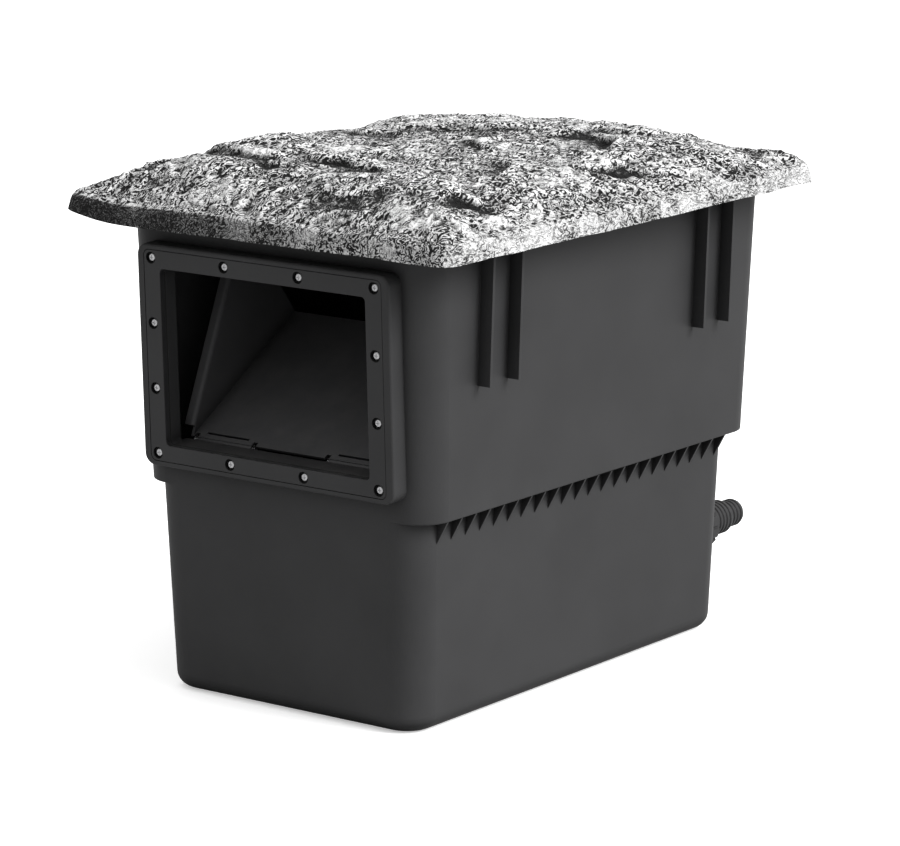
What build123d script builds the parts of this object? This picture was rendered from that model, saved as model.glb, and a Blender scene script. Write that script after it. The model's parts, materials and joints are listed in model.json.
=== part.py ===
"""Built-in pond skimmer with a weir flap, leaf basket, foam cartridges and a rock-look lid.

All sizes are millimetres. The origin is the centre of the tub's underside, +Z is up, +Y points
from the inlet to the hose outlet and +X is to the right of someone who faces the inlet.
"""

import os
from math import cos, radians, sin, tan

from build123d import *

os.makedirs("parts", exist_ok=True)

# ---------------------------------------------------------------- driving dimensions
# Tub. Every wall leans out by DRAFT as it rises.
DRAFT = 2.0
BASE_WIDTH = 344.5
BASE_LENGTH = 585.5
WALL = 4.0
FLOOR = 5.0
CORNER_RADIUS = 37.0
BASE_EDGE_RADIUS = 18.0
LEDGE_HEIGHT = 232.0
SIDE_LEDGE = 15.7
REAR_LEDGE = 19.3
LEDGE_EDGE_RADIUS = 2.0
RIM_HEIGHT = 528.0
LIP_WIDTH = 8.0
LIP_THICKNESS = 4.0

# Gussets under the ledge
GUSSET_PITCH = 25.07
SIDE_GUSSETS = 22
REAR_GUSSETS = 11
GUSSET_ROW_CENTRE = 1.8
GUSSET_HEIGHT = 26.0
GUSSET_THICKNESS = 2.6

# Paired plate ribs on the upper sides
RIB_PAIR_CENTRES = (-192.5, 210.0)
RIB_SPACING = 51.0
RIB_DEPTH = 16.0
RIB_THICKNESS = 3.5
RIB_FOOT_HEIGHT = 371.0

# Inlet frame and faceplate. The inlet is centred INLET_DROP below the rim.
INLET_DROP = 149.9
FRAME_WIDTH = 339.2
FRAME_HEIGHT = 244.0
FRAME_PROUD = 21.0
FRAME_CORNER_RADIUS = 13.0
FRAME_EDGE_RADIUS = 3.0
OPENING_WIDTH = 276.4
OPENING_HEIGHT = 194.2
OPENING_DROP = 0.8
OPENING_CORNER_RADIUS = 5.0
FACEPLATE_WIDTH = 319.4
FACEPLATE_HEIGHT = 232.0
FACEPLATE_THICKNESS = 7.0
FACEPLATE_CORNER_RADIUS = 7.0
FACEPLATE_GAP = 0.5
FACEPLATE_EDGE_RADIUS = 0.8
GASKET_THICKNESS = 2.0
SCREWS_ACROSS = 4
SCREWS_UP = 4
SCREW_PITCH_X = 100.0
SCREW_PITCH_Z = 71.5
SCREW_HEAD_RADIUS = 4.25
SCREW_HEAD_HEIGHT = 2.8
SCREW_SHANK_RADIUS = 2.4
SCREW_LENGTH = 20.0
SCREW_RECESS_RADIUS = 6.5
SCREW_RECESS_DEPTH = 4.5
SCREW_CLEARANCE = 0.4
SCREW_END_GAP = 1.0
FIT_GAP = 0.05
DRIVE_WIDTH = 0.9
DRIVE_LENGTH = 4.6
DRIVE_DEPTH = 1.2

# Weir flap. It hinges on the sill behind the inlet and leans back at rest.
SILL_DEPTH = 38.0
SILL_THICKNESS = 12.0
HINGE_DEPTH = 43.5
HINGE_DROP = 2.3
FLAP_ANGLE = 32.0
FLAP_LENGTH = 208.0
FLAP_HALF_WIDTH = 134.0
FLAP_THICKNESS = 3.0
FLAP_RISE = 6.0
CHEEK_ANGLE = 35.5
CHEEK_RETURN = 12.0
CHEEK_BEND_RADIUS = 4.5
CHEEK_FOOT = 11.0
KNUCKLE_CENTRE = 90.0
KNUCKLE_LENGTH = 74.0
KNUCKLE_RADIUS = 5.0
HINGE_PIN_RADIUS = 3.0
PIN_HEAD_THICKNESS = 2.0
LUG_THICKNESS = 3.0
LUG_GAP = 0.5
LUG_ROOT = 2.0
HEEL_DROP = 11.0
HEEL_GAP = 0.3
HEEL_ROOT = 1.0
SLIT_START = 6.0
SLIT_WIDTH = 3.0
SLIT_LENGTH = 58.0
FLOAT_WIDTH = 220.0
FLOAT_LENGTH = 70.0
FLOAT_THICKNESS = 22.0
FLOAT_END_GAP = 12.0
FLOAT_PEG_RADIUS = 4.0
FLOAT_PEG_SPACING = 75.0
FLOAT_CAP_RADIUS = 10.0
FLOAT_CAP_THICKNESS = 3.0

# Leaf basket. Its flange hangs on the tub's inner shelf.
BASKET_WIDTH = 328.0
BASKET_LENGTH = 124.0
BASKET_CENTRE_Y = -22.0
BASKET_DEPTH = 170.0
BASKET_WALL = 2.5
BASKET_FLANGE = 10.0
BASKET_SIDE_FLANGE = 24.0
BASKET_FLANGE_THICKNESS = 4.0
BASKET_CORNER_RADIUS = 18.0
BASKET_SLOT_WIDTH = 6.0
BASKET_SLOT_PITCH = 14.0
BAIL_RADIUS = 3.5
BAIL_PIN_RADIUS = 3.0
BAIL_PIVOT_RISE = 9.0
BAIL_LUG_THICKNESS = 4.0
BAIL_EYE_RADIUS = 7.0
BAIL_EYE_THICKNESS = 6.0
BAIL_BEND_RADIUS = 12.0
REST_POST_X = 60.0
REST_GAP = 0.3

# Partition, cartridge rack and foam cartridges
PARTITION_Y = 60.0
PARTITION_THICKNESS = 5.0
PARTITION_TOP = 440.0
PARTITION_CLEARANCE = 0.4
GUIDE_THICKNESS = 3.0
GUIDE_DEPTH = 8.0
RACK_HALF_WIDTH = 156.0
RACK_WALL = 3.0
RACK_DEPTH = 98.0
RACK_TOP = 430.0
RACK_FOOT_CHAMFER = 2.5
WINDOW_SIZE = 34.0
WINDOW_PITCH = 42.0
WINDOWS_ACROSS = 7
WINDOWS_UP = 9
CARTRIDGE_CLEARANCE = 1.0
CARTRIDGE_GAP = 3.0
CARTRIDGE_DEPTH = 44.0
CARTRIDGE_HEIGHT = 392.0
CARTRIDGE_RING = 10.0
CARTRIDGE_BAR = 4.0
GRIP_WIDTH = 104.0
GRIP_HEIGHT = 28.0
GRIP_THICKNESS = 8.0
GRIP_SLOT_WIDTH = 84.0
GRIP_SLOT_HEIGHT = 15.0
RACK_EAR_WIDTH = 14.0
RACK_EAR_HEIGHT = 20.0
RACK_EAR_THICKNESS = 5.0
RACK_EAR_LEVELS = (300.0, 415.0)
RACK_SCREW_RADIUS = 2.0
RACK_SCREW_HEAD_RADIUS = 4.0
RACK_SCREW_HEAD_HEIGHT = 2.5

# Outlet through the rear wall
OUTLET_X = 118.0
OUTLET_HEIGHT = 105.0
OUTLET_BOSS_RADIUS = 40.0
OUTLET_SEAT_OUTSIDE = 3.0
OUTLET_SEAT_INSIDE = 11.0
THREAD_RADIUS = 23.9
THREAD_HOLE_CLEARANCE = 0.6
WATERWAY_RADIUS = 13.0
SEAL_THICKNESS = 3.0
BULKHEAD_FLANGE_RADIUS = 32.0
BULKHEAD_FLANGE_THICKNESS = 6.0
BULKHEAD_NUT_FLATS = 62.0
BULKHEAD_NUT_THICKNESS = 9.0
BARREL_OUTSIDE = 20.0
TAIL_COLLAR_THICKNESS = 5.0
TAIL_COLLAR_RADIUS = 23.8
TAIL_NUT_RADIUS = 29.0
TAIL_NUT_LENGTH = 17.0
TAIL_NUT_GRIPS = 12
TAIL_NUT_GRIP_RADIUS = 2.0
TAIL_NUT_WALL = 3.0
TAIL_SEAL_THICKNESS = 2.0
TAIL_NECK = 2.5
TAIL_NECK_CLEARANCE = 0.4
PUMP_WATERWAY_RADIUS = 9.5
PUMP_SPIGOT = 12.0
LARGE_HOSE_RADIUS = 20.0
SMALL_HOSE_RADIUS = 16.2
PUMP_HOSE_RADIUS = 12.7
BARB_PITCH = 7.0
BARB_LAND = 2.2
BARB_HEIGHT = 1.4
BARB_SLOPE = 1.2
LARGE_BARBS = 6
SMALL_BARBS = 4
PUMP_BARBS = 5

# Lead grommet in the rear wall, just under the lid
GROMMET_X = -120.0
GROMMET_DROP = 28.0
GROMMET_BORE_RADIUS = 4.5
GROMMET_BODY_RADIUS = 10.0
GROMMET_FLANGE_RADIUS = 14.0
GROMMET_FLANGE_THICKNESS = 2.5

# Rock lid. It overhangs the walls at the rim and its lower edge hangs LID_DROP below the rim.
LID_SIDE_OVERHANG = 56.6
LID_FRONT_OVERHANG = 41.8
LID_REAR_OVERHANG = 22.5
LID_DROP = 8.9
LID_SKIRT_HEIGHT = 33.0
LID_SKIRT_INSET = 18.0
LID_HEIGHT = 74.0
LID_CROWN_INSET = 75.0
LID_WALL = 6.0
LID_CORNER_RADIUS = 30.0
LID_BEARING_WIDTH = 9.0
LID_DOWNSTAND = 10.0
LID_DOWNSTAND_GAP = 3.0
LID_DOWNSTAND_THICKNESS = 4.0
PAD_LENGTH = 40.0
PAD_WIDTH = 9.0
PAD_THICKNESS = 3.0
PAD_SPACING_X = 220.0
PAD_SPACING_Y = 360.0


# ---------------------------------------------------------------- shared geometry
def lean(height):
    """How far a wall has moved out at a height above the tub's underside."""
    return height * tan(radians(DRAFT))


def half_width(height, side_step=0.0, inset=0.0):
    """Half the tub's width at a height."""
    return BASE_WIDTH / 2 + lean(height) + side_step - inset


def front_y(height, inset=0.0):
    """The front wall's place at a height."""
    return -(BASE_LENGTH / 2 + lean(height) - inset)


def rear_y(height, rear_step=0.0, inset=0.0):
    """The rear wall's place at a height."""
    return BASE_LENGTH / 2 + lean(height) + rear_step - inset


def tapered_block(bottom, top, side_step=0.0, rear_step=0.0, inset=0.0):
    """A drafted block with the tub's plan shape, between two heights."""
    with BuildPart() as block:
        for height in (bottom, top):
            front = front_y(height, inset)
            rear = rear_y(height, rear_step, inset)
            with BuildSketch(Plane.XY.offset(height)):
                with Locations((0, (front + rear) / 2)):
                    RectangleRounded(
                        2 * half_width(height, side_step, inset),
                        rear - front,
                        CORNER_RADIUS - inset,
                    )
        loft()
    return block.part


def rim_outline(offset):
    """The face inside the outline of the walls at the rim, moved out by an offset."""
    front = front_y(RIM_HEIGHT) - offset
    rear = rear_y(RIM_HEIGHT, REAR_LEDGE) + offset
    with BuildSketch() as outline:
        with Locations((0, (front + rear) / 2)):
            RectangleRounded(
                2 * (half_width(RIM_HEIGHT, SIDE_LEDGE) + offset), rear - front, CORNER_RADIUS + offset
            )
    return outline.sketch


def bottom_edges(part):
    """The edges around the lowest face of a block."""
    return part.faces().sort_by(Axis.Z)[0].edges()


def barb_points(start, crest_radius, count, direction=1):
    """Points of a row of hose barbs as (radius, distance along the axis)."""
    points = []
    for index in range(count):
        root = start + direction * index * BARB_PITCH
        points.append((crest_radius - BARB_HEIGHT, root))
        points.append((crest_radius, root + direction * BARB_SLOPE))
        points.append((crest_radius, root + direction * (BARB_SLOPE + BARB_LAND)))
    points.append((crest_radius - BARB_HEIGHT, start + direction * count * BARB_PITCH))
    return points


# The inlet's plane: x to the right, y up the leaning wall, z out towards the pond
inlet_height = RIM_HEIGHT - INLET_DROP
inlet = Plane(
    origin=(0, front_y(inlet_height) - FRAME_PROUD, inlet_height),
    x_dir=(1, 0, 0),
    z_dir=(0, -cos(radians(DRAFT)), -sin(radians(DRAFT))),
)
seat_depth = FACEPLATE_THICKNESS + GASKET_THICKNESS
opening_bottom = -OPENING_HEIGHT / 2 - OPENING_DROP
screw_grid = [
    place.position for place in GridLocations(SCREW_PITCH_X, SCREW_PITCH_Z, SCREWS_ACROSS, SCREWS_UP)
]
inner_x = max(point.X for point in screw_grid) - SCREW_PITCH_X / 2
inner_y = max(point.Y for point in screw_grid) - SCREW_PITCH_Z / 2
screw_points = [point for point in screw_grid if abs(point.X) > inner_x or abs(point.Y) > inner_y]

# The flap's hinge line, a plane across it (x away from the inlet, y up), and the flap's own
# planes: flap has x along the hinge, y up the panel and z over it; cheek has x up the panel.
hinge_point = inlet.from_local_coords(Vector(0, opening_bottom - HINGE_DROP, -HINGE_DEPTH))
across_hinge = Plane(origin=hinge_point, x_dir=-inlet.z_dir, z_dir=(1, 0, 0))
flap = Plane(
    origin=hinge_point,
    x_dir=(1, 0, 0),
    z_dir=(0, -sin(radians(FLAP_ANGLE)), cos(radians(FLAP_ANGLE))),
)
cheek = Plane(origin=hinge_point, x_dir=flap.y_dir, z_dir=(1, 0, 0))


def outlet_plane(y):
    """A plane square to the outlet's axis, facing the garden."""
    return Plane(origin=(OUTLET_X, y, OUTLET_HEIGHT), x_dir=(-1, 0, 0), z_dir=(0, 1, 0))


outlet_axis = Axis((OUTLET_X, 0, OUTLET_HEIGHT), (0, 1, 0))
# A half section of the outlet: x is the radius and y runs along the outlet's axis.
outlet_section = Plane(origin=(OUTLET_X, 0, OUTLET_HEIGHT), x_dir=(1, 0, 0), z_dir=(0, 0, 1))
seat_outer_y = rear_y(OUTLET_HEIGHT) + OUTLET_SEAT_OUTSIDE
seat_inner_y = rear_y(OUTLET_HEIGHT, inset=WALL) - OUTLET_SEAT_INSIDE

# The rear wall's plane at the lead grommet, facing out
grommet_height = RIM_HEIGHT - GROMMET_DROP
grommet_plane = Plane(
    origin=(GROMMET_X, rear_y(grommet_height, REAR_LEDGE), grommet_height),
    x_dir=(-1, 0, 0),
    z_dir=(0, cos(radians(DRAFT)), -sin(radians(DRAFT))),
)

# ---------------------------------------------------------------- tub
shelf_height = LEDGE_HEIGHT + WALL
lip_underside = RIM_HEIGHT - LIP_THICKNESS
gusset_foot = LEDGE_HEIGHT - GUSSET_HEIGHT
lug_offset = (KNUCKLE_LENGTH + LUG_THICKNESS) / 2 + LUG_GAP

with BuildPart() as lower_outer:
    add(tapered_block(0, RIM_HEIGHT))
    fillet(bottom_edges(lower_outer.part), BASE_EDGE_RADIUS)

with BuildPart() as upper_outer:
    add(tapered_block(LEDGE_HEIGHT, RIM_HEIGHT, SIDE_LEDGE, REAR_LEDGE))
    fillet(bottom_edges(upper_outer.part), LEDGE_EDGE_RADIUS)

with BuildPart() as cavity:
    add(tapered_block(FLOOR, RIM_HEIGHT, inset=WALL))
    fillet(bottom_edges(cavity.part), BASE_EDGE_RADIUS - WALL)
    add(tapered_block(shelf_height, RIM_HEIGHT, SIDE_LEDGE, REAR_LEDGE, WALL))

with BuildPart() as guides:
    # Two frames of rib inside the walls, with a groove between them for the partition
    groove_front = PARTITION_Y - PARTITION_CLEARANCE / 2
    groove_rear = PARTITION_Y + PARTITION_THICKNESS + PARTITION_CLEARANCE / 2
    for guide_y in (groove_front, groove_rear + GUIDE_THICKNESS):
        with BuildSketch(Plane.XZ.offset(-guide_y)):
            with Locations((0, PARTITION_TOP / 2)):
                Rectangle(2 * half_width(RIM_HEIGHT, SIDE_LEDGE), PARTITION_TOP)
        extrude(amount=GUIDE_THICKNESS)
    add(tapered_block(FLOOR + GUIDE_DEPTH, RIM_HEIGHT, inset=WALL + GUIDE_DEPTH), mode=Mode.SUBTRACT)
    add(
        tapered_block(shelf_height + GUIDE_DEPTH, RIM_HEIGHT, SIDE_LEDGE, REAR_LEDGE, WALL + GUIDE_DEPTH),
        mode=Mode.SUBTRACT,
    )
    add(cavity.part, mode=Mode.INTERSECT)
    # the rear frame's foot leaves room for the cartridge rack
    with BuildSketch(Plane.XZ.offset(-groove_rear)):
        Rectangle(2 * (RACK_HALF_WIDTH + PARTITION_CLEARANCE), 4 * GUIDE_DEPTH)
    extrude(amount=-GUIDE_THICKNESS, mode=Mode.SUBTRACT)

with BuildPart() as side_gussets:
    # One gusset on each side, at y = 0
    with BuildSketch(Plane.XZ):
        for side in (-1, 1):
            with BuildLine():
                Polyline(
                    (side * (half_width(gusset_foot) - WALL / 2), gusset_foot),
                    (side * half_width(gusset_foot), gusset_foot),
                    (side * (half_width(LEDGE_HEIGHT, SIDE_LEDGE) - LEDGE_EDGE_RADIUS), LEDGE_HEIGHT),
                    (side * (half_width(LEDGE_HEIGHT) - WALL / 2), LEDGE_HEIGHT),
                    close=True,
                )
            make_face()
    extrude(amount=GUSSET_THICKNESS / 2, both=True)

with BuildPart() as rear_gusset:
    # One gusset under the rear ledge, at x = 0
    with BuildSketch(Plane.YZ):
        with BuildLine():
            Polyline(
                (rear_y(gusset_foot) - WALL / 2, gusset_foot),
                (rear_y(gusset_foot), gusset_foot),
                (rear_y(LEDGE_HEIGHT, REAR_LEDGE) - LEDGE_EDGE_RADIUS, LEDGE_HEIGHT),
                (rear_y(LEDGE_HEIGHT) - WALL / 2, LEDGE_HEIGHT),
                close=True,
            )
        make_face()
    extrude(amount=GUSSET_THICKNESS / 2, both=True)

with BuildPart() as side_ribs:
    # One plate rib on each side, at y = 0
    rib_root = half_width(RIB_FOOT_HEIGHT, SIDE_LEDGE)
    rib_head = half_width(lip_underside, SIDE_LEDGE)
    with BuildSketch(Plane.XZ):
        for side in (-1, 1):
            with BuildLine():
                Polyline(
                    (side * (rib_root - WALL / 2), RIB_FOOT_HEIGHT),
                    (side * (rib_root + RIB_DEPTH), RIB_FOOT_HEIGHT),
                    (side * (rib_head + RIB_DEPTH), lip_underside),
                    (side * (rib_head - WALL / 2), lip_underside),
                    close=True,
                )
            make_face()
    extrude(amount=RIB_THICKNESS / 2, both=True)

gusset_places = [
    (0, GUSSET_ROW_CENTRE + (index - (SIDE_GUSSETS - 1) / 2) * GUSSET_PITCH, 0) for index in range(SIDE_GUSSETS)
]
rear_gusset_places = [((index - (REAR_GUSSETS - 1) / 2) * GUSSET_PITCH, 0, 0) for index in range(REAR_GUSSETS)]
rib_places = [(0, centre + side * RIB_SPACING / 2, 0) for centre in RIB_PAIR_CENTRES for side in (-1, 1)]

with BuildPart() as tub:
    add(lower_outer.part)
    add(upper_outer.part)
    with Locations(*gusset_places):
        add(side_gussets.part)
    with Locations(*rear_gusset_places):
        add(rear_gusset.part)
    with Locations(*rib_places):
        add(side_ribs.part)
    # lip around the rim
    with BuildSketch(Plane.XY.offset(lip_underside)):
        add(rim_outline(LIP_WIDTH))
    extrude(amount=LIP_THICKNESS)
    # inlet frame on the front wall
    with BuildSketch(inlet):
        RectangleRounded(FRAME_WIDTH, FRAME_HEIGHT, FRAME_CORNER_RADIUS)
    extrude(amount=-(FRAME_PROUD + WALL / 2))
    fillet(tub.faces().sort_by(Axis((0, 0, 0), inlet.z_dir))[-1].edges(), FRAME_EDGE_RADIUS)
    # flat seat outside the outlet
    with BuildSketch(outlet_plane(seat_outer_y)):
        Circle(OUTLET_BOSS_RADIUS)
    extrude(amount=-(OUTLET_SEAT_OUTSIDE + WALL / 2))
    add(cavity.part, mode=Mode.SUBTRACT)
    # flat seat inside the outlet
    with BuildSketch(outlet_plane(seat_inner_y)):
        Circle(OUTLET_BOSS_RADIUS)
    extrude(amount=OUTLET_SEAT_INSIDE + WALL / 2)
    add(guides.part)
    # sill behind the inlet, with a pair of hinge lugs for each pin
    with BuildSketch(inlet.offset(-FRAME_PROUD - WALL / 2)):
        with Locations((0, opening_bottom - SILL_THICKNESS / 2)):
            Rectangle(OPENING_WIDTH + 2 * WALL, SILL_THICKNESS)
    extrude(amount=-(SILL_DEPTH - FRAME_PROUD - WALL / 2))
    for side in (-1, 1):
        for face in (-1, 1):
            with BuildSketch(across_hinge.offset(side * KNUCKLE_CENTRE + face * lug_offset)):
                Circle(KNUCKLE_RADIUS)
                with Locations((-(KNUCKLE_RADIUS + LUG_ROOT) / 2, -KNUCKLE_RADIUS / 2)):
                    Rectangle(KNUCKLE_RADIUS + LUG_ROOT, KNUCKLE_RADIUS)
            extrude(amount=LUG_THICKNESS / 2, both=True)
    # faceplate seat and opening
    with BuildSketch(inlet):
        RectangleRounded(
            FACEPLATE_WIDTH + 2 * FACEPLATE_GAP,
            FACEPLATE_HEIGHT + 2 * FACEPLATE_GAP,
            FACEPLATE_CORNER_RADIUS + FACEPLATE_GAP,
        )
    extrude(amount=-seat_depth, mode=Mode.SUBTRACT)
    with BuildSketch(inlet):
        with Locations((0, -OPENING_DROP)):
            RectangleRounded(OPENING_WIDTH, OPENING_HEIGHT, OPENING_CORNER_RADIUS)
    extrude(amount=-(SILL_DEPTH + WALL), mode=Mode.SUBTRACT)
    # screw holes in the frame
    with BuildSketch(inlet.offset(-seat_depth)):
        with Locations(*screw_points):
            Circle(SCREW_SHANK_RADIUS + FIT_GAP)
    extrude(amount=-(SCREW_LENGTH - FACEPLATE_THICKNESS), mode=Mode.SUBTRACT)
    # hinge pin holes
    for side in (-1, 1):
        with BuildSketch(across_hinge.offset(side * KNUCKLE_CENTRE)):
            Circle(HINGE_PIN_RADIUS + FIT_GAP)
        extrude(amount=lug_offset + LUG_THICKNESS, both=True, mode=Mode.SUBTRACT)
    # outlet hole
    with BuildSketch(outlet_plane(seat_inner_y)):
        Circle(THREAD_RADIUS + THREAD_HOLE_CLEARANCE)
    extrude(amount=seat_outer_y - seat_inner_y, mode=Mode.SUBTRACT)
    # grommet hole
    with BuildSketch(grommet_plane.offset(WALL)):
        Circle(GROMMET_BODY_RADIUS)
    extrude(amount=-3 * WALL, mode=Mode.SUBTRACT)
tub.part.label = "tub"
export_step(tub.part, "parts/tub.step")

# ---------------------------------------------------------------- faceplate, gasket and screws
with BuildPart() as faceplate:
    with BuildSketch(inlet):
        RectangleRounded(FACEPLATE_WIDTH, FACEPLATE_HEIGHT, FACEPLATE_CORNER_RADIUS)
        with Locations((0, -OPENING_DROP)):
            RectangleRounded(OPENING_WIDTH, OPENING_HEIGHT, OPENING_CORNER_RADIUS, mode=Mode.SUBTRACT)
    extrude(amount=-FACEPLATE_THICKNESS)
    fillet(faceplate.faces().sort_by(Axis((0, 0, 0), inlet.z_dir))[-1].edges(), FACEPLATE_EDGE_RADIUS)
    with BuildSketch(inlet):
        with Locations(*screw_points):
            Circle(SCREW_RECESS_RADIUS)
    extrude(amount=-SCREW_RECESS_DEPTH, mode=Mode.SUBTRACT)
    with BuildSketch(inlet):
        with Locations(*screw_points):
            Circle(SCREW_SHANK_RADIUS + SCREW_CLEARANCE)
    extrude(amount=-FACEPLATE_THICKNESS, mode=Mode.SUBTRACT)
faceplate.part.label = "faceplate"
export_step(faceplate.part, "parts/faceplate.step")

with BuildPart() as faceplate_gasket:
    with BuildSketch(inlet.offset(-seat_depth)):
        RectangleRounded(FACEPLATE_WIDTH, FACEPLATE_HEIGHT, FACEPLATE_CORNER_RADIUS)
        with Locations((0, -OPENING_DROP)):
            RectangleRounded(OPENING_WIDTH, OPENING_HEIGHT, OPENING_CORNER_RADIUS, mode=Mode.SUBTRACT)
        with Locations(*screw_points):
            Circle(SCREW_SHANK_RADIUS + SCREW_CLEARANCE, mode=Mode.SUBTRACT)
    extrude(amount=GASKET_THICKNESS)
faceplate_gasket.part.label = "faceplate_gasket"
export_step(faceplate_gasket.part, "parts/faceplate_gasket.step")

with BuildPart() as screw:
    # One pan-head screw along -Z with its head's underside at z = 0
    Cylinder(SCREW_HEAD_RADIUS, SCREW_HEAD_HEIGHT, align=(Align.CENTER, Align.CENTER, Align.MIN))
    fillet(screw.edges().sort_by(Axis.Z)[-1], SCREW_HEAD_HEIGHT / 2)
    with Locations((0, 0, SCREW_HEAD_HEIGHT)):
        Box(DRIVE_LENGTH, DRIVE_WIDTH, 2 * DRIVE_DEPTH, mode=Mode.SUBTRACT)
        Box(DRIVE_WIDTH, DRIVE_LENGTH, 2 * DRIVE_DEPTH, mode=Mode.SUBTRACT)
    Cylinder(
        SCREW_SHANK_RADIUS,
        SCREW_LENGTH - SCREW_RECESS_DEPTH - SCREW_END_GAP,
        align=(Align.CENTER, Align.CENTER, Align.MAX),
    )

with BuildPart() as faceplate_screws:
    with Locations(inlet.offset(-SCREW_RECESS_DEPTH)):
        with Locations(*screw_points):
            add(screw.part)
faceplate_screws.part.label = "faceplate_screws"
export_step(faceplate_screws.part, "parts/faceplate_screws.step")

# ---------------------------------------------------------------- weir flap
panel_underside = FLAP_RISE - FLAP_THICKNESS
float_underside = panel_underside - FLOAT_THICKNESS
float_centre = FLAP_LENGTH - FLOAT_END_GAP - FLOAT_LENGTH / 2
peg_points = [(-FLOAT_PEG_SPACING, float_centre), (0, float_centre), (FLOAT_PEG_SPACING, float_centre)]
cheek_turn = radians(CHEEK_ANGLE)
panel_end = (FLAP_LENGTH, FLAP_RISE)
cheek_bow = (FLAP_LENGTH * cos(cheek_turn / 2), FLAP_RISE + FLAP_LENGTH * sin(cheek_turn / 2))
cheek_tip = (FLAP_LENGTH * cos(cheek_turn), FLAP_RISE + FLAP_LENGTH * sin(cheek_turn))
# Section of the cheek's turned-out front edge, seen down the edge from its top
front_edge = Plane(
    origin=cheek.from_local_coords(Vector(*cheek_tip, 0)),
    x_dir=(1, 0, 0),
    z_dir=-(flap.y_dir * cos(cheek_turn) + flap.z_dir * sin(cheek_turn)),
)
notch_width = LUG_THICKNESS + PIN_HEAD_THICKNESS + 2 * LUG_GAP
notch_offset = (KNUCKLE_LENGTH + notch_width) / 2
notch_length = KNUCKLE_RADIUS + LUG_GAP
bend_x = FLAP_HALF_WIDTH + CHEEK_BEND_RADIUS
return_x = FLAP_HALF_WIDTH + CHEEK_RETURN

with BuildPart() as weir_flap:
    # right cheek
    with BuildSketch(cheek.offset(FLAP_HALF_WIDTH)):
        with BuildLine():
            Line((0, FLAP_RISE), panel_end)
            ThreePointArc(panel_end, cheek_bow, cheek_tip)
            Line(cheek_tip, (0, FLAP_RISE))
        make_face()
    extrude(amount=FLAP_THICKNESS)
    # its turned-out front edge
    with BuildSketch(front_edge):
        with BuildLine():
            Line((FLAP_HALF_WIDTH, -FLAP_THICKNESS), (FLAP_HALF_WIDTH, 0))
            CenterArc((bend_x, 0), CHEEK_BEND_RADIUS, 180, -90)
            Line((bend_x, CHEEK_BEND_RADIUS), (return_x, CHEEK_BEND_RADIUS))
            Line((return_x, CHEEK_BEND_RADIUS), (return_x, CHEEK_BEND_RADIUS - FLAP_THICKNESS))
            Line((return_x, CHEEK_BEND_RADIUS - FLAP_THICKNESS), (bend_x, CHEEK_BEND_RADIUS - FLAP_THICKNESS))
            CenterArc((bend_x, 0), CHEEK_BEND_RADIUS - FLAP_THICKNESS, 90, 90)
            Line((FLAP_HALF_WIDTH + FLAP_THICKNESS, 0), (FLAP_HALF_WIDTH + FLAP_THICKNESS, -FLAP_THICKNESS))
            Line((FLAP_HALF_WIDTH + FLAP_THICKNESS, -FLAP_THICKNESS), (FLAP_HALF_WIDTH, -FLAP_THICKNESS))
        make_face()
    extrude(amount=FLAP_LENGTH - CHEEK_FOOT)
    # right knuckle, with the heel that stops against the sill
    with BuildSketch(across_hinge.offset(KNUCKLE_CENTRE)):
        Circle(KNUCKLE_RADIUS)
        heel_front = SILL_DEPTH - HINGE_DEPTH + HEEL_GAP
        with Locations(((heel_front + HEEL_ROOT) / 2, -HEEL_DROP / 2)):
            Rectangle(HEEL_ROOT - heel_front, HEEL_DROP)
    extrude(amount=KNUCKLE_LENGTH / 2, both=True)
    mirror(about=Plane.YZ)
    # panel
    with BuildSketch(flap.offset(panel_underside)):
        with Locations((0, FLAP_LENGTH / 2)):
            Rectangle(2 * (FLAP_HALF_WIDTH + FLAP_THICKNESS), FLAP_LENGTH)
    extrude(amount=FLAP_THICKNESS)
    # slits over the knuckles, notches round the lugs and bores for the pins
    with BuildSketch(flap.offset(panel_underside)):
        for side in (-1, 1):
            with Locations((side * KNUCKLE_CENTRE, SLIT_START + SLIT_WIDTH / 2)):
                Rectangle(SLIT_LENGTH, SLIT_WIDTH)
            with Locations(
                (side * KNUCKLE_CENTRE - notch_offset, notch_length / 2),
                (side * KNUCKLE_CENTRE + notch_offset, notch_length / 2),
            ):
                Rectangle(notch_width, notch_length)
    extrude(amount=FLAP_THICKNESS, mode=Mode.SUBTRACT)
    for side in (-1, 1):
        with BuildSketch(across_hinge.offset(side * KNUCKLE_CENTRE)):
            Circle(HINGE_PIN_RADIUS + FIT_GAP)
        extrude(amount=KNUCKLE_LENGTH, both=True, mode=Mode.SUBTRACT)
    # pegs that carry the float
    with BuildSketch(flap.offset(float_underside - FLOAT_CAP_THICKNESS)):
        with Locations(*peg_points):
            Circle(FLOAT_PEG_RADIUS)
    extrude(amount=FLOAT_THICKNESS + FLOAT_CAP_THICKNESS)
weir_flap.part.label = "weir_flap"
export_step(weir_flap.part, "parts/weir_flap.step")

with BuildPart() as weir_float:
    with BuildSketch(flap.offset(float_underside)):
        with Locations((0, float_centre)):
            RectangleRounded(FLOAT_WIDTH, FLOAT_LENGTH, FLOAT_PEG_RADIUS)
        with Locations(*peg_points):
            Circle(FLOAT_PEG_RADIUS + FIT_GAP, mode=Mode.SUBTRACT)
    extrude(amount=FLOAT_THICKNESS)
weir_float.part.label = "weir_float"
export_step(weir_float.part, "parts/weir_float.step")

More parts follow.
